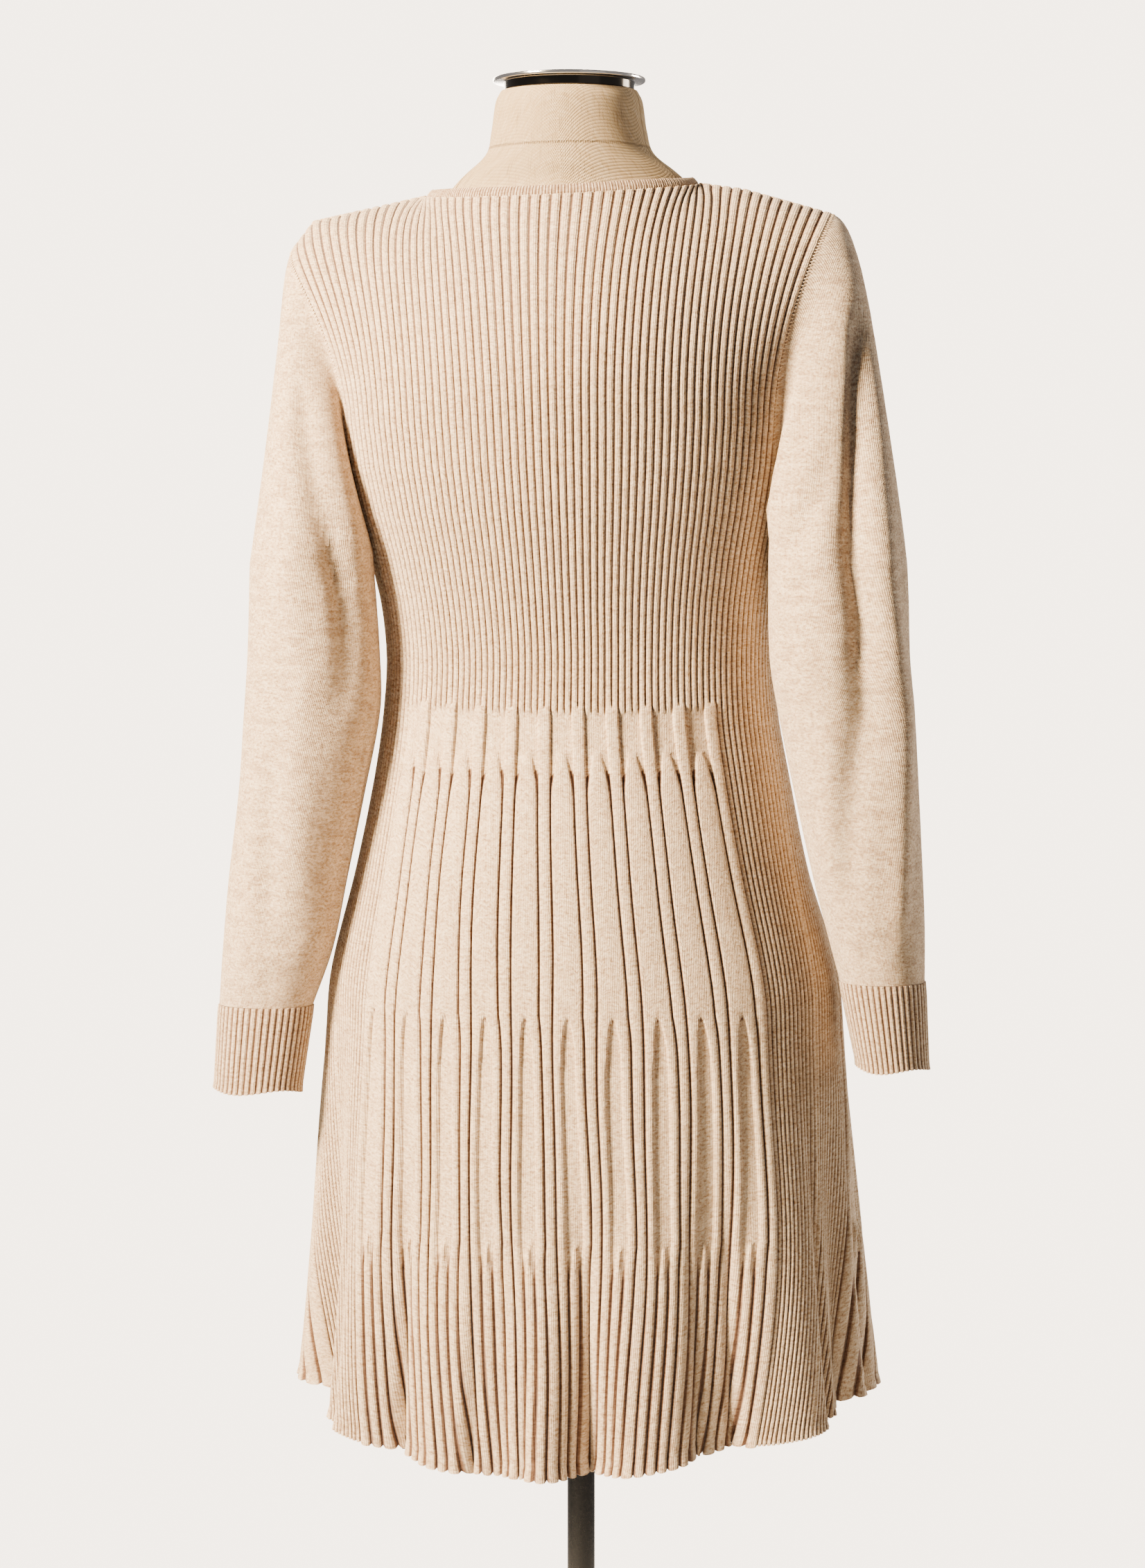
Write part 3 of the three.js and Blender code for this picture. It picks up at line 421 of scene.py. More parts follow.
def top_lean(panel, points):
    """Handle of the cloth where it arrives at the top edge."""
    widest = NECK["half"] + NECK_LEAN["before"]
    inward = 1 - np.abs(points[:, 0] - NECK["x"]) / widest
    t = np.clip(inward / NECK_LEAN["full"], 0, 1)
    share = t * t * (3 - 2 * t)
    degrees, length = (
        SHOULDER_LEAN[key] + (NECK_LEAN[key] - SHOULDER_LEAN[key]) * share
        for key in ("degrees", "length")
    )
    angle = np.radians(degrees)
    outward = 1 if panel["front"] else -1
    return np.stack([angle * 0, outward * length * np.cos(angle), -length * np.sin(angle)], -1)


def soften(points, farthest):
    """Spreads a line's sharp turns over their neighbours, but keeps its ends."""
    index = np.arange(len(points))
    reach = np.minimum(round(farthest / FINE), np.minimum(index, index[::-1]))
    return np.array([points[i - r : i + r + 1].mean(axis=0) for i, r in enumerate(reach)])


# %% [markdown]
# ## From rows of points to cloth
# Every piece of cloth starts as Blender's own grid, with one vertex for each point that was
# worked out, and each vertex is carried to its place. The grid brings its UV map along,
# which is set to the flat cut in metres, so that the knit's stitches keep their size and
# run with the ribs. A Solidify modifier then gives the cloth its wall.

# %% Make a mesh from a grid of points
CLOTH_CREASE = 50
WELD_REACH = 0.00001


def from_grid(name, points, flat=None, groove_shade_mask=None, closed=False):
    """A grid primitive whose vertices are carried to the points, given in mm."""
    rows, columns = points.shape[:2]
    bpy.ops.object.select_all(action="DESELECT")
    bpy.ops.mesh.primitive_grid_add(x_subdivisions=columns - 1, y_subdivisions=rows - 1, size=1)
    piece = bpy.context.object
    piece.name = name
    mesh = piece.data
    mesh.name = name
    mesh.vertices.foreach_set("co", (points * MM).reshape(-1))
    if flat is not None:
        corner = np.zeros(len(mesh.loops), int)
        mesh.loops.foreach_get("vertex_index", corner)
        mesh.uv_layers[0].name = "flat cut"
        mesh.uv_layers[0].data.foreach_set("uv", (flat.reshape(-1, 2) * MM)[corner].reshape(-1))
    if groove_shade_mask is not None:
        # This mask says where the knit finish paints shade into the grooves.
        mesh.attributes.new("groove_shade_mask", "FLOAT", "POINT").data.foreach_set("value", groove_shade_mask.reshape(-1))
    if closed:
        weld(piece)
    return piece


def take_up(piece):
    """Selects one piece alone."""
    bpy.ops.object.select_all(action="DESELECT")
    piece.select_set(True)
    bpy.context.view_layer.objects.active = piece


def weld(piece):
    """Joins vertices that lie on each other."""
    take_up(piece)
    bpy.ops.object.mode_set(mode="EDIT")
    bpy.ops.mesh.select_all(action="SELECT")
    bpy.ops.mesh.remove_doubles(threshold=WELD_REACH)
    bpy.ops.object.mode_set(mode="OBJECT")


def sew(piece, wall=None, crease=CLOTH_CREASE):
    """Gives cloth its wall and smooth shading."""
    take_up(piece)
    if wall:
        modifier = piece.modifiers.new("wall", "SOLIDIFY")
        modifier.thickness = wall * MM
        modifier.offset = -1
        bpy.ops.object.modifier_apply(modifier=modifier.name)
    bpy.ops.object.shade_smooth_by_angle(angle=math.radians(crease))
    triangles = sum(len(p.vertices) - 2 for p in piece.data.polygons)
    print(piece.name, "has", triangles, "triangles")
    return piece


def run_length(points):
    """How far each point lies along its column, in mm."""
    steps = np.linalg.norm(np.diff(points, axis=0), axis=-1)
    return np.concatenate([np.zeros((1, points.shape[1])), np.cumsum(steps, axis=0)])


# %% [markdown]
# ## The back and the front
# Each panel is one cloth. Its lower part takes every column, its yoke only those between
# the armholes, and the two grids are welded along the row they share. The hem's last few
# millimetres curl out a little, as the edge of knit does, and each rib ends in a small
# scallop. A hanging skirt is never quite even, so its ribs sway a fraction of a millimetre.

# %% Rows of the lower part and of the yoke
HEM_CURL = {"height": 5, "out": 1.4, "scallop": 1.8}
TIP_SHARPNESS = 6
ARCH = 1.8
SWAY = {"mm": 0.6, "top": 1000, "fade": 200, "waves": [(71, 33), (43, -27), (27, 19)]}


def sway(panel, z, along):
    """How far the ribs wander sideways, most at the hem and not at all at the sides."""
    across = panel["c"] / panel["columns"] * 2 - 1
    free = (1 - across**4) * np.clip((SWAY["top"] - z) / SWAY["fade"], 0, 1)
    waves = [np.sin(z / long + along / wide) for long, wide in SWAY["waves"]]
    return SWAY["mm"] * free * sum(waves)


def lower_rows(panel):
    """Plain points, outward directions and heights of ribs below the armholes."""
    points, normals, rises, flats = [], [], [], []
    for low, high in zip(ROWS, ROWS[1:]):
        z_low, z_high = row_height(panel, low), row_height(panel, high)
        place_low, rise_low = whole_columns(low["state"])
        place_high, rise_high = whole_columns(high["state"])
        ribs_low, ribs_high = (float(r["state"] == "ribs") for r in (low, high))
        width = value_at(SECTIONS, "pleats", low["z"]) / BACK["groups"]
        last = high is ROWS[-1]
        tip = "tip" in low
        moving = np.abs(rise_high - rise_low) > PLEAT_HEIGHT / 2 if tip else None
        for t in np.linspace(0, 1, low["steps"] + 1)[: None if last else -1]:
            z = z_low + (z_high - z_low) * t
            place = place_low + (place_high - place_low) * (t**ARCH if tip else t)
            quick, slow = 1 - (1 - t) ** 2.5, t**TIP_SHARPNESS
            ease = np.where((rise_high > rise_low) & (not tip), quick, slow)
            heights = rise_low + (rise_high - rise_low) * ease
            crisp = t**0.5 if low["state"] == "four bands" else 1
            place, heights = fine_columns(place, heights, moving, width, crisp)
            along = column_length(panel, z, place, ribs_low + (ribs_high - ribs_low) * t)
            along += sway(panel, z, along)
            points.append(skin_point(z, along))
            normals.append(skin_normal(z, along))
            rises.append(whole_row(panel, heights))
            flats.append(along)
    return np.array(points), np.array(normals), np.array(rises), np.array(flats)


def yoke_rows(panel, base):
    """Plain points, outward directions and heights of ribs from the armholes up."""
    inside = slice(round(ARMHOLE / FINE), round((panel["columns"] - ARMHOLE) / FINE) + 1)
    ribs, group = fine_columns(*whole_columns("ribs"))
    z = np.full(len(panel["c"]), float(ROWS[-2]["z"]))
    below = skin_point(z, column_length(panel, z, ribs, 1))[inside]
    start = base[inside]
    climb = unit(start - below) * [YOKE_SIDEWAYS, 1, 1]
    top = share_out(top_edge(panel), np.linspace(0, 1, len(start)))
    leave, arrive = start + unit(climb) * YOKE_RISE, soften(top + top_lean(panel, top), CORNER_REACH)
    rows = []
    for t in np.linspace(0, 1, YOKE_ROWS + 1):
        rows.append(soften(bezier(start, leave, arrive, top, t), CORNER_REACH * 4 * t * (1 - t)))
    points = np.array(rows)
    reach = 10
    columns = np.arange(points.shape[1])
    right = points[:, np.minimum(columns + reach, columns[-1])]
    left = points[:, np.maximum(columns - reach, 0)]
    step = unit(np.diff(points, axis=0))
    up = np.concatenate([step[:1], step[:-1] + step[1:], step[-1:]])
    normals = np.cross(right - left, up)
    on_seam = np.abs(top[:, 0] - NECK["x"]) > NECK["half"] - 1
    normals[-1, on_seam, 1] = 0
    return points, unit(normals), whole_row(panel, group)[inside], inside


def build_panel(name, panel):
    """A whole panel, and its plain points for the sleeves that are sewn to it."""
    points, normals, rises, along = lower_rows(panel)
    yoke, yoke_normals, yoke_rise, inside = yoke_rows(panel, points[-1])
    yoke_normals[0] = normals[-1, inside]
    yoke_normals[1] = unit(yoke_normals[0] + yoke_normals[2])
    above = points[:, :, 2] - points[0, :, 2]
    curl = np.clip(1 - above / HEM_CURL["height"], 0, 1) ** 2
    rises[:, [0, -1]] = 0
    outer = points + normals * (rises + HEM_CURL["out"] * curl)[..., None]
    outer[..., 2] -= curl * HEM_CURL["scallop"] * rises / PLEAT_HEIGHT
    run = run_length(points)
    flat = np.stack([along, run], -1)
    lower = from_grid(name, outer, flat, on_top(rises, along, points[..., 2]))
    yoke_rise = yoke_rise.copy()
    yoke_rise[[0, -1]] = 0
    yoke_outer = yoke + yoke_normals * yoke_rise[None, :, None]
    yoke_run = run_length(yoke) + run[-1, inside]
    yoke_along = np.broadcast_to(along[-1, inside], yoke_run.shape)
    seam_row = along[-1:, inside], points[-1:, inside, 2]
    yoke_groove_shade_mask = np.broadcast_to(on_top(yoke_rise[None], *seam_row), yoke_run.shape)
    yoke_flat = np.stack([yoke_along, yoke_run], -1)
    upper = from_grid(name + "_yoke", yoke_outer, yoke_flat, yoke_groove_shade_mask)
    lower.select_set(True)
    bpy.context.view_layer.objects.active = lower
    bpy.ops.object.join()
    weld(lower)
    sew(lower, WALL)
    edges = {"points": points[-1], "normals": normals[-1]}
    return lower, edges | {"yoke": yoke, "yoke_normals": yoke_normals}


back, back_edges = build_panel("knit_back", BACK)
front, front_edges = build_panel("knit_front", FRONT)

# %% [markdown]
# ## Sleeves
# A sleeve is plain fine knit, set in round the armhole. Its rings start at the edge that
# the two panels leave, swing over the biceps and run down the arm in slanting ellipses. The
# creases come last: long soft troughs along the sleeve, pulls below the shoulder and a few
# short wrinkles above the cuff, each placed one by one. The armhole's seam shows as a row of
# small slanting stitches, so one stitch is modelled and copied round the edge.

# %% Sections and creases of the sleeves
SLEEVE_RISE = 0.5
CAP_ROWS = 18
ARM_ROWS = 84
UNDERARM_REACH = {"along": 12, "out": 17}
SLEEVE_SEAM_GAP = 0.25
CREASE_RADIUS = 47
ARM_RADIUS = 45
WRIST_RADIUS = 33
SLEEVE_HANDLE = {"underarm": 22, "shoulder": 90}
RIGHT = {
    "side": 1,
    "reach": 29,
    "slope": 10,
    "z": [830, 864, 900, 960, 1020, 1060, 1125],
    "inner": [191, 182, 173, 160, 148, 142, 141],
    "outer": [250, 250, 249, 247, 244, 241, 237],
    "y": [-29, -31, -34, -39, -43, -46, -47],
    "half": [31, 35, 38, 42, 44, 45, 45],
    "twist": [0, 0, 0, 4, 10, 22, 35],
    "cuff": {
        "z": [769, 829.7],
        "inner": [203.5, 191],
        "outer": [252.5, 250],
        "y": [-27, -29],
        "half": [31, 31],
        "twist": [0, 0],
    },
}
LEFT = {
    "side": -1,
    "reach": 15,
    "slope": 14,
    "z": [806.5, 848, 900, 960, 1020, 1060, 1125],
    "inner": [190, 175, 164, 151, 138.5, 138, 142],
    "outer": [257.5, 254, 249, 241, 235.5, 232, 229],
    "y": [-44, -45, -45, -47, -51, -54, -56],
    "half": [26, 34, 38, 42, 44, 45, 45],
    "twist": [0, 0, 0, 4, 10, 22, 35],
    "cuff": {
        "z": [744.5, 806.2],
        "inner": [200, 190],
        "outer": [261.5, 257.5],
        "y": [-43, -44],
        "half": [24, 26],
        "twist": [0, 0],
    },
}
HIDDEN_CREASES = [
    [(285, 1240, 0, 11), (272, 1140, 9, 11), (262, 1040, 0, 11)],
    [(250, 1180, 0, 11), (268, 1090, 7, 11), (285, 1010, 0, 11)],
    [(300, 1060, 0, 10), (284, 980, 4, 10), (270, 900, 0, 10)],
    [(215, 1120, 0, 12), (202, 1000, 4, 12), (190, 880, 0, 12)],
    [(335, 1180, 0, 8), (326, 1110, 5, 8), (318, 1040, 0, 8)],
]
# Each crease is a line of points: degrees round from the inner side over the back,
# height, depth (a ridge where it is negative) and half width
RIGHT_CREASES = HIDDEN_CREASES + [
    [(164, 1318, 0, 10), (165, 1265, 9, 12), (158, 1208, 13, 12), (148, 1150, 13, 11)]
    + [(139, 1075, 11, 10), (125, 1038, 9, 10), (109, 1000, 7.5, 11), (92, 958, 6, 12)]
    + [(79, 925, 4.5, 12), (70, 865, 0, 10)],
    [(142, 1310, 0, 20), (140, 1240, 6, 22), (136, 1180, 6, 22), (126, 1090, 0, 16)],
    [(182, 1190, 0, 10), (172, 1120, -5, 11), (162, 1060, -8, 12), (146, 990, -8, 12)]
    + [(136, 940, -7, 12), (126, 890, -5, 11), (116, 845, 0, 10)],
    [(136, 1215, 0, 8), (118, 1180, 5, 8), (98, 1150, 8, 8), (82, 1132, 5, 9), (66, 1122, 0, 8)],
    [(98, 1258, 0, 9), (80, 1215, -5, 9), (56, 1162, -5, 9), (40, 1140, 0, 9)],
    [(76, 1112, 0, 6), (92, 1108, 2.4, 6), (114, 1106, 0, 6)],
    [(92, 1036, 0, 10), (78, 980, -2.5, 10), (60, 920, -2.5, 9), (50, 885, 0, 9)],
    [(70, 858, 0, 5), (84, 852, 2.2, 5), (98, 846, 0, 5)],
    [(100, 871, 0, 5), (112, 865, 1.8, 5), (124, 861, 0, 5)],
]
LEFT_CREASES = HIDDEN_CREASES + [
    [(138, 1270, 0, 12), (124, 1220, 8, 12), (108, 1170, 9, 12), (95, 1130, 5, 11), (82, 1100, 0, 10)],
    [(100, 1185, 0, 8), (88, 1135, 6, 9), (76, 1090, 7, 9), (68, 1050, 4, 9), (58, 1000, 0, 9)],
    [(112, 1090, 0, 12), (98, 1020, -3, 12), (78, 930, -3.5, 12), (56, 855, 0, 12)],
    [(124, 1018, 0, 10), (110, 950, 3.5, 10), (96, 890, 4.5, 10), (84, 832, 0, 10)],
    [(32, 1084, 0, 4), (24, 1000, -2.4, 4), (12, 900, -2.4, 4), (4, 822, 0, 4)],
    [(144, 1188, 0, 12), (128, 1110, -3, 12), (108, 1030, 0, 12)],
    [(94, 842, 0, 5), (82, 826, 2.6, 5), (70, 811, 0, 5)],
    [(58, 864, 0, 5), (72, 857, 2, 5), (86, 851, 0, 5)],
    [(68, 1122, 0, 6), (80, 1114, 2.2, 6), (94, 1106, 0, 6)],
]


def crease_push(creases, turn, z, radius):
    """How far the creases push the cloth in; turn in degrees, the rest in mm."""
    push = np.zeros_like(z)
    x = np.radians(turn) * radius
    for crease in creases:
        deepest = np.zeros_like(z)
        for (turn_a, z_a, deep_a, wide_a), (turn_b, z_b, deep_b, wide_b) in zip(crease, crease[1:]):
            ax, bx = math.radians(turn_a) * radius, math.radians(turn_b) * radius
            run = (bx - ax) ** 2 + (z_b - z_a) ** 2
            t = np.clip(((x - ax) * (bx - ax) + (z - z_a) * (z_b - z_a)) / run, 0, 1)
            distance = np.hypot(x - ax - t * (bx - ax), z - z_a - t * (z_b - z_a))
            ease = t * t * (3 - 2 * t)
            width = wide_a + (wide_b - wide_a) * ease
            depth = (deep_a + (deep_b - deep_a) * ease) * np.exp(-((distance / width) ** 2))
            deepest = np.where(np.abs(depth) > np.abs(deepest), depth, deepest)
        push += deepest
    return push


def ellipse_point(section, side, turn, z):
    """Points of a slanting ellipse round the arm at a height."""
    inner, outer = value_at(section, "inner", z), value_at(section, "outer", z)
    angle = turn - math.radians(value_at(section, "twist", z))
    x = side * ((inner + outer) / 2 - (outer - inner) / 2 * np.cos(angle))
    y = value_at(section, "y", z) - value_at(section, "half", z) * np.sin(angle)
    return np.stack([x, y, np.full(len(turn), float(z))], -1)


def armhole_edge(edges, at_start):
    """The armhole's edge on one panel: points, outward directions and ways off the edge."""
    count = round(ARMHOLE / FINE)
    order = slice(0, count) if at_start else slice(-1, -count - 1, -1)
    column = 0 if at_start else -1
    points = np.vstack([edges["points"][order], edges["yoke"][:, column]])
    normals = np.vstack([edges["normals"][order], edges["yoke_normals"][:, column]])
    index = np.arange(len(points))
    before, after = np.maximum(index - 1, 0), np.minimum(index + 1, len(points) - 1)
    away = np.cross(unit(points[after] - points[before]), normals)
    return points, normals, unit(away) * (-1 if at_start else 1)


def armhole_loop(side):
    """The whole armhole, from the underarm over the back to the tip and down the front.

    It gives points, outward directions, ways off the edge, and where the tip is."""
    back_edge = armhole_edge(back_edges, at_start=side < 0)
    front_edge = armhole_edge(front_edges, at_start=side > 0)
    loop = []
    for on_back, on_front in zip(back_edge, front_edge):
        line = np.vstack([on_back, on_front[1:-1][::-1]])
        line[0] = (on_back[0] + on_front[0]) / 2
        line[len(on_back) - 1] = (on_back[-1] + on_front[-1]) / 2
        loop.append(line)
    return loop[0], unit(loop[1]), unit(loop[2]), len(back_edge[0]) - 1


def ring_normals(rings, side):
    """Outward directions on rings that run down the arm."""
    along = np.roll(rings, -1, axis=1) - np.roll(rings, 1, axis=1)
    down = np.gradient(rings, axis=0)
    return unit(np.cross(along, down) * -side)


def build_sleeve(name, shape, creases):
    """A sleeve from the armhole to the cuff."""
    side = shape["side"]
    points, normals, away, tip = armhole_loop(side)
    steps = np.linalg.norm(np.roll(points, -1, axis=0) - points, axis=1)
    lengths = np.concatenate([[0], np.cumsum(steps)])
    to_tip, whole = lengths[tip], lengths[-1]
    turn = np.where(
        lengths[:-1] <= to_tip,
        np.pi * lengths[:-1] / to_tip,
        np.pi * (1 + (lengths[:-1] - to_tip) / (whole - to_tip)),
    )
    high = np.sin(turn / 2)[:, None]
    reach = UNDERARM_REACH["along"] + (shape["reach"] - UNDERARM_REACH["along"]) * high**2
    start = points + away * SLEEVE_SEAM_GAP
    end = ellipse_point(shape, side, turn, shape["z"][-1])
    leave = start + away * reach + normals * UNDERARM_REACH["out"] * (1 - high) ** 2
    rise = SLEEVE_HANDLE["underarm"]
    rise = rise + (SLEEVE_HANDLE["shoulder"] - rise) * high**2
    arrive = end + np.concatenate([-side * shape["slope"] * high**2, high * 0, rise], axis=1)
    cap = [bezier(start, leave, arrive, end, t) for t in np.linspace(0, 1, CAP_ROWS + 1) ** 1.3]
    levels = np.linspace(shape["z"][-1], shape["z"][0], ARM_ROWS)[1:]
    rings = np.array(cap + [ellipse_point(shape, side, turn, z) for z in levels])
    outward = ring_normals(rings, side)
    outward[0] = normals
    outward[1] = unit(outward[0] + outward[2])
    degrees = np.degrees(turn) + np.zeros(rings.shape[:2])
    push = crease_push(creases, degrees, rings[..., 2], CREASE_RADIUS)
    row = np.arange(len(rings))[:, None]
    push *= np.clip(row / 8, 0, 1) * np.clip((len(rings) - 1 - row) / 5, 0, 1)
    outer = rings + outward * (SLEEVE_RISE - push)[..., None]
    outer = np.concatenate([outer, outer[:, :1]], axis=1)
    rings = np.concatenate([rings, rings[:, :1]], axis=1)
    run = run_length(rings)
    around = lengths / whole * 2 * np.pi * ARM_RADIUS
    flat = np.stack([np.broadcast_to(around, run.shape), run[-1] - run], -1)
    order = slice(None, None, -1 if side > 0 else 1)
    groove_shade_mask = np.ones(run.shape)
    sleeve = from_grid(name, outer[order], flat[order], groove_shade_mask, closed=True)
    return sew(sleeve, WALL)


STITCHES = {"apart": 2.7, "long": 1.5, "thick": 0.5, "lift": 0.7, "off": 0.4, "slant": 0.45}


def build_stitches(name, side):
    """Yarn stitches across the seam between an armhole and its sleeve."""
    loop, normals, away = (np.vstack([line, line[:1]]) for line in armhole_loop(side)[:3])
    steps = np.linalg.norm(np.diff(loop, axis=0), axis=1)
    lengths = np.concatenate([[0], np.cumsum(steps)])
    spots = np.arange(0, lengths[-1], STITCHES["apart"])
    middle, outward, across = (
        np.stack([np.interp(spots, lengths, line[:, k]) for k in range(3)], -1)
        for line in (loop, normals, away)
    )
    outward = unit(outward)
    along = unit(np.cross(outward, across))
    lying = unit(unit(across) + along * STITCHES["slant"])
    beside = np.cross(outward, lying)
    bpy.ops.mesh.primitive_uv_sphere_add(segments=8, ring_count=6, radius=1)
    piece = bpy.context.object
    piece.name = name
    count = len(piece.data.vertices)
    ball = np.zeros(count * 3)
    piece.data.vertices.foreach_get("co", ball)
    ball = ball.reshape(-1, 3)
    faces = [list(face.vertices) for face in piece.data.polygons]
    centre = middle + across * STITCHES["off"] + outward * STITCHES["lift"]
    x, y, z = (ball[:, axis, None, None] for axis in range(3))
    shape = z * lying * STITCHES["long"]
    shape = shape + (x * beside + y * outward) * STITCHES["thick"]
    points = (centre + shape).transpose(1, 0, 2).reshape(-1, 3) * MM
    mesh = bpy.data.meshes.new(name)
    every = [[v + k * count for v in face] for k in range(len(spots)) for face in faces]
    mesh.from_pydata(points.tolist(), [], every)
    piece.data = mesh
    return sew(piece, crease=80)


sleeve_right = build_sleeve("knit_sleeve_right", RIGHT, RIGHT_CREASES)
sleeve_left = build_sleeve("knit_sleeve_left", LEFT, LEFT_CREASES)
stitches_right = build_stitches("armhole_stitches_right", 1)
stitches_left = build_stitches("armhole_stitches_left", -1)

# %% [markdown]
# ## Cuffs and neckband
# The cuffs are knitted in narrow ribs, and their lower edge waves a little because the ribs
# pull it. The neckband is a very fine rib, hardly a finger's width high, that stands on the
# neckline and leans in. Both are bands of ribbed points closed into a ring.

# %% Cuffs
CUFF_RIBS = 44
CUFF_STEPS = 6
CUFF_ROWS = 18
CUFF_WALL = 1.2
CUFF_RIB_HEIGHT = 1.2
CUFF_WAVE = {"height": 1.6, "waves": 3}


def build_cuff(name, shape):
    """A ribbed cuff below its sleeve."""
    side = shape["side"]
    count = CUFF_RIBS * CUFF_STEPS
    index = np.arange(count + 1)
    turn = -side * index / count * 2 * np.pi
    crest = np.abs(np.sin(np.pi * index / CUFF_STEPS)) ** 0.7
    top, bottom = (ellipse_point(shape["cuff"], side, turn, z) for z in shape["cuff"]["z"][::-1])
    outward = np.stack([-side * np.cos(turn), -np.sin(turn), 0 * turn], -1)
    wave = CUFF_WAVE["height"] * np.sin(CUFF_WAVE["waves"] * turn + side)
    rows = []
    for t in np.linspace(0, 1, CUFF_ROWS + 1):
        seam = min(t * 8, 1) * 0.25 + 0.75
        lip = max(t - 0.93, 0) * 9
        out = SLEEVE_RISE + crest * CUFF_RIB_HEIGHT * seam + lip
        ring = top + (bottom - top) * t + outward * out[:, None]
        ring[:, 2] += wave * t**3 - crest * lip
        rows.append(ring)
    points = np.array(rows)
    run = run_length(points)
    around = np.broadcast_to(index / count * 2 * np.pi * WRIST_RADIUS, run.shape)
    groove_shade_mask = np.broadcast_to(crest, run.shape)
    cuff = from_grid(name, points, np.stack([around, -run], -1), groove_shade_mask, closed=True)
    return sew(cuff, CUFF_WALL)


cuff_right = build_cuff("knit_cuff_right", RIGHT)
cuff_left = build_cuff("knit_cuff_left", LEFT)

# %% Neckband
BAND = {"height": 7, "wall": 2, "lean": 2.5, "foot": 0.4, "rib": 0.35}
BAND_CORNER = {"height": -2, "lean": 1.5, "sharpness": 7}
BAND_RIBS = 132
BAND_STEPS = 4
BAND_ROWS = 8
BAND_COLUMN = 0.48


def build_neckband(name):
    """A fine ribbed band on the neckline."""
    t = np.arange(BAND_RIBS * BAND_STEPS) / (BAND_RIBS * BAND_STEPS)
    loop = np.vstack([neck_point(False, t), neck_point(True, 1 - t)])
    loop = np.vstack([loop, loop[:1]])
    centre = np.array([NECK["x"], NECK["y"], 0])
    inward = centre - loop
    inward[:, 2] = 0
    inward = unit(inward)
    crest = np.abs(np.sin(np.pi * np.arange(len(loop)) / BAND_STEPS))
    corner = np.abs(np.cos(np.pi * np.concatenate([t, 1 - t, t[:1]]))) ** BAND_CORNER["sharpness"]
    lean = BAND["lean"] + BAND_CORNER["lean"] * corner
    height = BAND["height"] + BAND_CORNER["height"] * corner
    rows = []
    for share in np.linspace(0, 1, BAND_ROWS + 1):
        round_edge = 0.7 * abs(2 * share - 1) ** 3
        shift = BAND["foot"] + lean * share + round_edge - BAND["rib"] * crest
        ring = loop + inward * shift[:, None]
        ring[:, 2] += BAND["foot"] + height * share
        rows.append(ring)
    points = np.array(rows)
    run = run_length(points)
    around = np.broadcast_to(np.arange(len(loop)) * BAND_COLUMN, run.shape)
    groove_shade_mask = np.broadcast_to(crest, run.shape)
    band = from_grid(name, points, np.stack([around, run], -1), groove_shade_mask, closed=True)
    return sew(band, BAND["wall"], crease=70)


neckband = build_neckband("knit_neckband")

# %% [markdown]
# ## The dress form
# A dress form is a padded torso covered in linen. Under the dress it only has to fill the
# shoulders and the chest, but its neck shows, and its rounded foot is seen from below. It is
# made as rings as well, and stands a little back from the cloth where the dress lies on it.

# %% Rings of the form
FORM = {
    "z": [770, 778, 800, 850, 905, 973, 1062, 1112, 1180, 1250, 1310, 1345, 1366, 1377, 1387.5]
    + [1398.5, 1416, 1432, 1454, 1461],
    "half": [118, 148, 170, 171, 156, 142, 134, 138, 152, 148, 148, 148, 140, 112, 93]
    + [82.5, 61, 56, 52.5, 49],
    "back": [76, 98, 112, 112, 106, 96, 87, 92, 106, 100, 80, 64, 56, 50, 46, 45, 47, 49, 50, 46],
    "front": [66, 84, 99, 102, 101, 98, 95, 103, 118, 112, 88, 60, 52, 44, 40, 41, 46, 49, 50, 46],
    "mid": [1, 1, 1, 1, 0, 0, 0, -2, -6, -12, -13, -12, -10, -9, -8.5, -8, -8.5, -9, -9, -9],
    "y": [4, 2, 0, 0, 0, 0, 0, 0, 0, 0, 0, 0, 0, 0, 1, 1, 2, 2, 2, 2],
    "round": [2, 2, 2, 2, 2, 2, 2, 2, 2, 2, 1.8, 1.6, 1.5, 1.5, 1.5, 1.7, 2, 2, 2, 2],
}
FORM_COLUMNS = 144
FORM_RADIUS = 90
FORM_BACKED_OFF = {"below": 1398, "clear": 1406, "by": 1.3}
BORE = 10.3


def form_ring(z, scale=1.0):
    """A rounded section of the form."""
    angle = np.arange(FORM_COLUMNS + 1) / FORM_COLUMNS * 2 * np.pi
    half, back_depth, front_depth, mid, y, roundness = (
        float(value_at(FORM, key, z)) for key in ("half", "back", "front", "mid", "y", "round")
    )
    covered = np.clip((FORM_BACKED_OFF["clear"] - z) / 8, 0, 1) * FORM_BACKED_OFF["by"]
    sine, cosine = np.sin(angle), np.cos(angle)
    depth = np.where(cosine > 0, back_depth, front_depth) - covered
    power = 2 / roundness
    x = mid + scale * (half - covered) * np.sign(sine) * np.abs(sine) ** power
    y = y - scale * depth * np.sign(cosine) * np.abs(cosine) ** power
    return np.stack([x, y, np.full(len(angle), float(z))], -1)


def build_form(name):
    """The linen-covered torso and neck."""
    foot = [form_ring(FORM["z"][0], share) for share in (0.0, 0.3, 0.6, 0.85)]
    levels = np.concatenate([np.linspace(770, 800, 9), np.linspace(806, 1360, 60)])
    levels = np.concatenate([levels, np.linspace(1364, 1461, 44)])
    top = [form_ring(FORM["z"][-1], share) for share in (0.6, 0.0)]
    rings = np.array(foot + [form_ring(z) for z in levels] + top)
    for ring in rings[:1]:
        ring[:, :2] = 0
    around = np.arange(FORM_COLUMNS + 1) / FORM_COLUMNS * 2 * np.pi * FORM_RADIUS
    run = run_length(rings)
    flat = np.stack([np.broadcast_to(around, run.shape), run], -1)
    form = from_grid(name, rings, flat, closed=True)
    return sew(form)


form = build_form("linen_form")

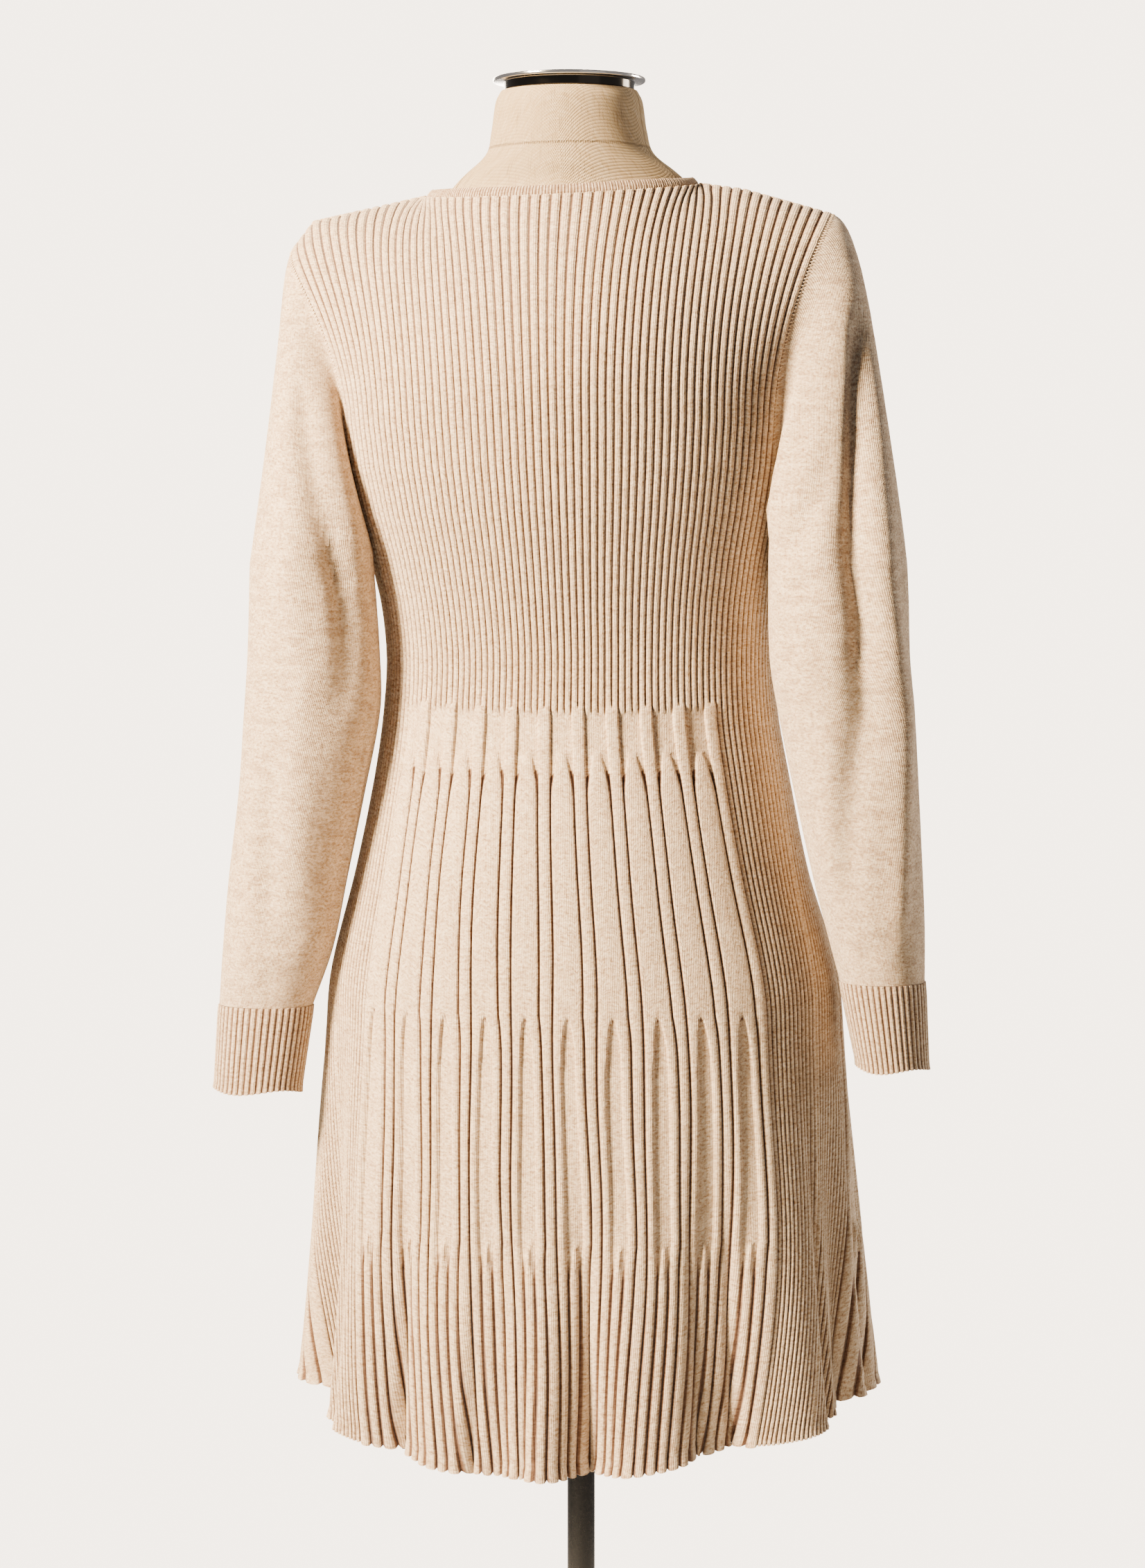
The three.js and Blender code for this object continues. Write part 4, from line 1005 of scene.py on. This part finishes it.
# %% [markdown]
# ## Cap, pole and base
# The hard pieces are turned on a lathe, so each is a profile swept round an upright axis.
# A Bevel modifier rounds their edges, because a sharp edge never catches the light.

# %% Turned pieces
TURNED_SEGMENTS = 96


def turned(name, profile, centre=(0, 0, 0), bevel=1.0):
    """Sweeps a profile of radius and height, in mm, round an upright axis."""
    angle = np.arange(TURNED_SEGMENTS + 1) / TURNED_SEGMENTS * 2 * np.pi
    radius, height = np.array(profile, float).T[:, :, None]
    x = centre[0] + radius * np.sin(angle)
    y = centre[1] - radius * np.cos(angle)
    z = centre[2] + height + 0 * angle
    piece = from_grid(name, np.stack([x, y, z], -1), closed=True)
    modifier = piece.modifiers.new("edges", "BEVEL")
    modifier.width = bevel * MM
    modifier.segments = 3
    modifier.limit_method = "ANGLE"
    modifier.angle_limit = math.radians(25)
    bpy.ops.object.modifier_apply(modifier=modifier.name)
    return sew(piece, crease=40)


CAP_CENTRE = (-9, 2, 1461.3)
CAP_SEAT = 6.4
CAP_SEAT_TOP = (CAP_CENTRE[2] + CAP_SEAT) * MM
CAP_PROFILE = [(0, 0), (46.5, 0), (46.5, CAP_SEAT), (54.5, CAP_SEAT), (54.5, 9)]
CAP_PROFILE += [(50 * math.cos(a), 9 + 3.2 * math.sin(a)) for a in np.linspace(0, math.pi / 2, 10)]
POLE_PROFILE = [(0, 6.3), (10, 6.3), (10, 829.7), (0, 829.7)]
BASE_PROFILE = [(0, 0), (180, 0), (180, 7), (172, 12), (22, 16), (22, 44)]
BASE_PROFILE += [(BORE, 44), (BORE, 6), (0, 6)]
cap = turned("chrome_cap", CAP_PROFILE, CAP_CENTRE, bevel=0.8)
pole = turned("steel_pole", POLE_PROFILE, bevel=0.8)
base = turned("steel_base", BASE_PROFILE, bevel=1.5)

# %% [markdown]
# ## Finishes
# A finish is a small network of nodes. The knit reads the flat cut, so that its V-shaped
# stitches run along the ribs, and mottles the yarn in short flecks that lie along its rows,
# as melange yarn does. It also paints shade into the grooves between the ribs: a mask kept
# on the mesh darkens them to a warm brown, as shaded grooves look where light has bounced
# from knit to knit.

# %% Helpers that add nodes
def new_finish(name, colour, roughness, metallic=0.0):
    """A material with one Principled shader."""
    finish = bpy.data.materials.new(name)
    finish.use_nodes = True
    finish.diffuse_color = (*colour, 1)
    surface = finish.node_tree.nodes["Principled BSDF"]
    surface.inputs["Base Color"].default_value = (*colour, 1)
    surface.inputs["Roughness"].default_value = roughness
    surface.inputs["Metallic"].default_value = metallic
    return finish, surface


def plug(finish, value, socket):
    """Links another node's output to a socket, or sets the socket to a number or colour."""
    if isinstance(value, bpy.types.NodeSocket):
        finish.node_tree.links.new(value, socket)
    else:
        socket.default_value = value


def place_on(finish):
    """Where a point of the piece lies, in metres."""
    return finish.node_tree.nodes.new("ShaderNodeTexCoord").outputs["Object"]


def parts_of(finish, vector):
    """A vector's three numbers."""
    split = finish.node_tree.nodes.new("ShaderNodeSeparateXYZ")
    plug(finish, vector, split.inputs[0])
    return split.outputs


def flat_cut(finish):
    """The place on the flat cut, and its two numbers, in metres."""
    cut = finish.node_tree.nodes.new("ShaderNodeUVMap")
    cut.uv_map = "flat cut"
    u, v, _ = parts_of(finish, cut.outputs[0])
    return cut.outputs[0], u, v


def calculate(finish, operation, a, b=0.0):
    """A Math node."""
    new = finish.node_tree.nodes.new("ShaderNodeMath")
    new.operation = operation
    plug(finish, a, new.inputs[0])
    plug(finish, b, new.inputs[1])
    return new.outputs[0]


def mottle(finish, vector, scale, detail=2.0, roughness=0.5, stretch=(1, 1, 1)):
    """Noise on a vector, stretched along its axes."""
    nodes = finish.node_tree.nodes
    mapping = nodes.new("ShaderNodeMapping")
    plug(finish, vector, mapping.inputs["Vector"])
    mapping.inputs["Scale"].default_value = stretch
    noise = nodes.new("ShaderNodeTexNoise")
    plug(finish, mapping.outputs[0], noise.inputs["Vector"])
    noise.inputs["Scale"].default_value = scale
    noise.inputs["Detail"].default_value = detail
    noise.inputs["Roughness"].default_value = roughness
    return noise.outputs["Fac"]


def spread(finish, value, low, high, to_low=0.0, to_high=1.0):
    """A Map Range node."""
    new = finish.node_tree.nodes.new("ShaderNodeMapRange")
    plug(finish, value, new.inputs["Value"])
    for key, number in zip(("From Min", "From Max", "To Min", "To Max"), (low, high, to_low, to_high)):
        new.inputs[key].default_value = number
    return new.outputs["Result"]


def blend(finish, share, a, b, how="MIX"):
    """Mixes two colours."""
    new = finish.node_tree.nodes.new("ShaderNodeMix")
    new.data_type = "RGBA"
    new.blend_type = how
    plug(finish, share, new.inputs[0])
    plug(finish, a if isinstance(a, bpy.types.NodeSocket) else (*a, 1), new.inputs[6])
    plug(finish, b if isinstance(b, bpy.types.NodeSocket) else (*b, 1), new.inputs[7])
    return new.outputs[2]


def bump(finish, surface, height, distance, strength=1.0, before=None):
    """A Bump node in front of the shader's normal."""
    new = finish.node_tree.nodes.new("ShaderNodeBump")
    new.inputs["Distance"].default_value = distance
    new.inputs["Strength"].default_value = strength
    plug(finish, height, new.inputs["Height"])
    if before:
        plug(finish, before, new.inputs["Normal"])
    finish.node_tree.links.new(new.outputs[0], surface.inputs["Normal"])
    return new.outputs[0]


# %% The melange knit
YARN = {
    "base": (0.55, 0.405, 0.265),
    "light": (0.70, 0.585, 0.45),
    "dark": (0.26, 0.16, 0.095),
    # The last colour is not the yarn's: it is painted shade for the grooves between the ribs.
    "groove": (0.26, 0.17, 0.13),
}
STITCH = {"wide": 0.00125, "high": 0.00095, "slant": 1.1}


def knit_finish(name, groove_share):
    """Stockinette stitches, short flecks of yarn and painted shade in the grooves."""
    finish, surface = new_finish(name, YARN["base"], 0.92)
    cut, u, v = flat_cut(finish)
    wobble = spread(finish, mottle(finish, cut, 260), 0, 1, -0.35, 0.35)
    wale = calculate(finish, "ADD", calculate(finish, "DIVIDE", u, STITCH["wide"]), wobble)
    within = calculate(finish, "FRACT", wale)
    off_centre = calculate(finish, "ABSOLUTE", calculate(finish, "SUBTRACT", within, 0.5))
    course = calculate(finish, "DIVIDE", v, STITCH["high"])
    lean = calculate(finish, "MULTIPLY", off_centre, STITCH["slant"])
    leg = calculate(finish, "SUBTRACT", course, lean)
    strand = calculate(finish, "COSINE", calculate(finish, "MULTIPLY", leg, 2 * math.pi))
    column = calculate(finish, "COSINE", calculate(finish, "MULTIPLY", off_centre, 2 * math.pi))
    stitches = calculate(finish, "ADD", calculate(finish, "MULTIPLY", strand, 0.5), column)
    fleck = mottle(finish, cut, 330, 3, 0.75, (1, 1.7, 1))
    colour = blend(finish, spread(finish, fleck, 0.50, 0.62), YARN["base"], YARN["light"])
    colour = blend(finish, spread(finish, fleck, 0.48, 0.34, 0.0, 0.95), colour, YARN["dark"])
    streak = mottle(finish, cut, 62, 5, 0.72, (1, 2.4, 1))
    cloudy = spread(finish, streak, 0.46, 0.66, 0.0, 0.6 - 0.26 * groove_share)
    colour = blend(finish, cloudy, colour, YARN["dark"])
    colour = blend(finish, spread(finish, streak, 0.46, 0.27, 0.0, 0.5), colour, YARN["light"])
    groove_shade_mask = finish.node_tree.nodes.new("ShaderNodeAttribute")
    groove_shade_mask.attribute_name = "groove_shade_mask"
    # Painted shade: the mask darkens the grooves between the ribs to a warm brown.
    groove = spread(finish, groove_shade_mask.outputs["Fac"], 0.96, 0.3, 0.0, groove_share)
    colour = blend(finish, groove, colour, YARN["groove"], "MULTIPLY")
    # More painted shade in the deepest grooves, most of all beside the raised pleats.
    deep = spread(finish, groove_shade_mask.outputs["Fac"], 0.1, -0.6, 0.0, 0.55 * groove_share)
    colour = blend(finish, deep, colour, YARN["groove"], "MULTIPLY")
    plug(finish, colour, surface.inputs["Base Color"])
    surface.inputs["Sheen Weight"].default_value = 0.18
    surface.inputs["Sheen Roughness"].default_value = 0.6
    surface.inputs["Specular IOR Level"].default_value = 0.2
    fuzz = mottle(finish, cut, 1500, 2, 0.6)
    first = bump(finish, surface, fuzz, 0.0003, 0.5)
    bump(finish, surface, stitches, 0.00022, 0.55, first)
    return finish


ribbed_knit = knit_finish("ribbed_knit", 1.0)
plain_knit = knit_finish("plain_knit", 0.0)

yarn, yarn_surface = new_finish("seam_yarn", YARN["base"], 0.9)
ply = mottle(yarn, place_on(yarn), 700, 2, 0.6)
yarn_colour = blend(yarn, spread(yarn, ply, 0.35, 0.65), YARN["base"], YARN["light"])
plug(yarn, yarn_colour, yarn_surface.inputs["Base Color"])
bump(yarn, yarn_surface, ply, 0.0003, 0.6)
print("knit finishes:", ribbed_knit.name, plain_knit.name, yarn.name)

# %% [markdown]
# ### Linen, chrome and black steel
# Linen is a plain weave of uneven threads, some thick and dark. Its cover is sewn together
# round the neck and down the sides, and the finish draws both seams as thin dark lines.
# Chrome is all reflection, so a slight unevenness of its polish is enough. The stand is
# painted, which leaves the faint orange peel of a sprayed coat.

# %% Linen
LINEN = {"base": (0.45, 0.325, 0.178), "pale": (0.60, 0.475, 0.315), "dark": (0.18, 0.12, 0.062)}
THREAD = 0.0012
NECK_SEAM = {"level": 1.4205, "half": 0.0006, "stitch": 0.0026}
SIDE_SEAM = {"y": -0.0085, "half": 0.0005}


def linen_finish(name):
    """A plain weave of uneven threads."""
    finish, surface = new_finish(name, LINEN["base"], 0.86)
    cut, u, v = flat_cut(finish)
    turn = math.pi / THREAD
    warp = calculate(finish, "SINE", calculate(finish, "MULTIPLY", u, turn))
    weft = calculate(finish, "SINE", calculate(finish, "MULTIPLY", v, turn))
    weave = calculate(finish, "ABSOLUTE", calculate(finish, "ADD", warp, weft))
    across = mottle(finish, cut, 60, 2, 0.6, (1, 14, 1))
    upright = mottle(finish, cut, 60, 2, 0.6, (14, 1, 1))
    colour = blend(finish, spread(finish, across, 0.42, 0.68), LINEN["base"], LINEN["pale"])
    colour = blend(finish, spread(finish, upright, 0.45, 0.28, 0.0, 0.75), colour, LINEN["dark"])
    colour = blend(finish, spread(finish, weave, 0.9, 0.0, 0.0, 0.5), colour, LINEN["dark"])
    _, y, z = parts_of(finish, place_on(finish))
    off_ring = calculate(finish, "ABSOLUTE", calculate(finish, "SUBTRACT", z, NECK_SEAM["level"]))
    off_side = calculate(finish, "ABSOLUTE", calculate(finish, "SUBTRACT", y, SIDE_SEAM["y"]))
    ring = spread(finish, off_ring, NECK_SEAM["half"] * 2, NECK_SEAM["half"] * 0.6)
    side = spread(finish, off_side, SIDE_SEAM["half"] * 2, SIDE_SEAM["half"] * 0.6)
    along = calculate(finish, "MULTIPLY", u, 2 * math.pi / NECK_SEAM["stitch"])
    dots = calculate(finish, "SINE", along)
    dotted = calculate(finish, "MULTIPLY", ring, spread(finish, dots, -0.4, 0.3, 0.35, 1.0))
    seams = calculate(finish, "MAXIMUM", dotted, side)
    colour = blend(finish, calculate(finish, "MULTIPLY", seams, 0.75), colour, LINEN["dark"])
    plug(finish, colour, surface.inputs["Base Color"])
    surface.inputs["Specular IOR Level"].default_value = 0.25
    first = bump(finish, surface, weave, 0.00025, 0.7)
    second = bump(finish, surface, calculate(finish, "ADD", across, upright), 0.0004, 0.5, first)
    bump(finish, surface, calculate(finish, "MULTIPLY", seams, -1.0), 0.0008, 0.8, second)
    return finish


linen = linen_finish("linen")

# %% Chrome and black paint
CHROME = {"base": (0.80, 0.80, 0.81), "under": (0.05, 0.045, 0.04), "fade": 0.0004}
chrome, chrome_surface = new_finish("polished_chrome", CHROME["base"], 0.12, 1.0)
polish = mottle(chrome, place_on(chrome), 30, 3, 0.55)
plug(chrome, spread(chrome, polish, 0.3, 0.7, 0.07, 0.2), chrome_surface.inputs["Roughness"])
# Below the top of the seat the colour fades to near black, so the seat under the rim shows dark.
level = parts_of(chrome, place_on(chrome))[2]
under = spread(chrome, level, CAP_SEAT_TOP, CAP_SEAT_TOP - CHROME["fade"])
chrome_colour = blend(chrome, under, CHROME["base"], CHROME["under"])
plug(chrome, chrome_colour, chrome_surface.inputs["Base Color"])

black_paint, paint_surface = new_finish("black_paint", (0.002, 0.002, 0.0022), 0.3)
coat = mottle(black_paint, place_on(black_paint), 420, 2, 0.5)
plug(black_paint, spread(black_paint, coat, 0.3, 0.7, 0.22, 0.28), paint_surface.inputs["Roughness"])
bump(black_paint, paint_surface, coat, 0.00004, 0.3)
print("finishes:", ", ".join(m.name for m in bpy.data.materials if m.users == 0 or m.use_nodes))

# %% [markdown]
# ## Each piece in its place
# Every new piece stands for the model's piece of the same part, which is hidden, takes the
# finish listed for that part and rides on the one body.

# %% Dress the model
PIECES = [
    (back, "back", "knit", ribbed_knit),
    (front, "front", "knit", ribbed_knit),
    (sleeve_right, "sleeve_right", "knit", plain_knit),
    (sleeve_left, "sleeve_left", "knit", plain_knit),
    (cuff_right, "cuff_right", "knit", ribbed_knit),
    (cuff_left, "cuff_left", "knit", ribbed_knit),
    (neckband, "neckband", "knit", ribbed_knit),
    (form, "form_body", "linen", linen),
    (cap, "neck_cap", "chrome", chrome),
    (pole, "stand_pole", "black_metal", black_paint),
    (base, "stand_base", "black_metal", black_paint),
]
TRIM = [(stitches_right, "knit", yarn), (stitches_left, "knit", yarn)]
for piece, node, slot, finish in PIECES:
    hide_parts(node)
for piece, slot, finish in [(row[0], row[2], row[3]) for row in PIECES] + TRIM:
    piece.data.materials.clear()
    piece.data.materials.append(finish)
    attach(piece, "root")

# %% [markdown]
# ## Floor, light and camera
# The photo was taken in a pale room with a warm light from the left, so the folds are read
# from their right sides. One lamp gives that light, and it is small enough for the grooves
# to stay crisp. A weak one opens the shadows on the right, one rims the right sleeve, and
# one lights the side that the camera doesn't see. The world shows pale behind the dress but
# gives little light, so that it doesn't wash out the ribs, and a mirror sees a dimmed room.
# The camera stands a little to the right of the middle and above the waist.

# %% Floor and lamps
bpy.ops.object.select_all(action="DESELECT")
bpy.ops.mesh.primitive_circle_add(vertices=128, radius=1.25, fill_type="NGON", location=(0, 0, -0.0002))
floor = bpy.context.object
floor.name = "floor"
floor_finish, floor_surface = new_finish("pale_floor", (0.80, 0.785, 0.76), 0.7)
grain = spread(floor_finish, mottle(floor_finish, place_on(floor_finish), 9, 3, 0.6), 0.3, 0.7)
floor_colour = blend(floor_finish, grain, (0.78, 0.765, 0.74), (0.82, 0.805, 0.78))
plug(floor_finish, floor_colour, floor_surface.inputs["Base Color"])
floor.data.materials.append(floor_finish)

LAMPS = [
    ("window", (-1.55, -1.45, 2.2), 0.6, 560, (1.0, 0.79, 0.535)),
    ("fill", (2.2, -2.2, 1.3), 2.2, 4, (1.0, 0.84, 0.7)),
    ("side", (2.3, 1.9, 1.5), 1.0, 110, (1.0, 0.86, 0.7)),
    ("front", (-1.1, 3.0, 1.9), 1.6, 150, (1.0, 0.88, 0.74)),
]
for name, spot, size, power, tint in LAMPS:
    bpy.ops.object.light_add(type="AREA", location=spot)
    lamp = bpy.context.object
    lamp.name = name
    lamp.data.size = size
    lamp.data.energy = power
    lamp.data.color = tint
    toward = np.array([0, 0, 1.0]) - np.array(spot)
    pitch = math.acos(-toward[2] / np.linalg.norm(toward))
    lamp.rotation_euler = (pitch, 0, math.atan2(-toward[0], toward[1]))

ROOM = {"light": (0.78, 0.84, 1.0), "strength": 0.09}
BACKDROP = {"seen": (1.0, 0.86, 0.72), "strength": 5.6, "mirrored": 0.04}
world = bpy.data.worlds.new("pale_room")
bpy.context.scene.world = world
world.use_nodes = True
world_nodes, world_links = world.node_tree.nodes, world.node_tree.links
room = world_nodes["Background"]
room.inputs["Color"].default_value = (*ROOM["light"], 1)
room.inputs["Strength"].default_value = ROOM["strength"]
backdrop = world_nodes.new("ShaderNodeBackground")
backdrop.inputs["Color"].default_value = (*BACKDROP["seen"], 1)
backdrop.inputs["Strength"].default_value = BACKDROP["strength"]
rays = world_nodes.new("ShaderNodeLightPath")
either = world_nodes.new("ShaderNodeMixShader")
in_mirror = world_nodes.new("ShaderNodeMath")
in_mirror.operation = "MULTIPLY_ADD"
world_links.new(rays.outputs["Is Glossy Ray"], in_mirror.inputs[0])
in_mirror.inputs[1].default_value = BACKDROP["mirrored"]
world_links.new(rays.outputs["Is Camera Ray"], in_mirror.inputs[2])
world_links.new(in_mirror.outputs[0], either.inputs[0])
world_links.new(room.outputs[0], either.inputs[1])
world_links.new(backdrop.outputs[0], either.inputs[2])
world_links.new(either.outputs[0], world_nodes["World Output"].inputs["Surface"])
print("lamps:", len(LAMPS))

# %% Camera
PHOTO = {"wide": 1652, "high": 2263}
VIEW = {"turn": 9.0, "away": 2.6, "height": 1.1435, "down": 3.92, "focal": 5200, "axis_right": 12.5}
turn = math.radians(VIEW["turn"])
bpy.ops.object.camera_add(
    location=(VIEW["away"] * math.sin(turn), -VIEW["away"] * math.cos(turn), VIEW["height"]),
    rotation=(math.radians(90 - VIEW["down"]), 0, turn),
)
camera = bpy.context.object
camera.data.sensor_width = 36
camera.data.lens = VIEW["focal"] / PHOTO["high"] * camera.data.sensor_width
camera.data.shift_x = -VIEW["axis_right"] / PHOTO["high"]
bpy.context.scene.camera = camera
print("lens, mm:", round(camera.data.lens, 1))
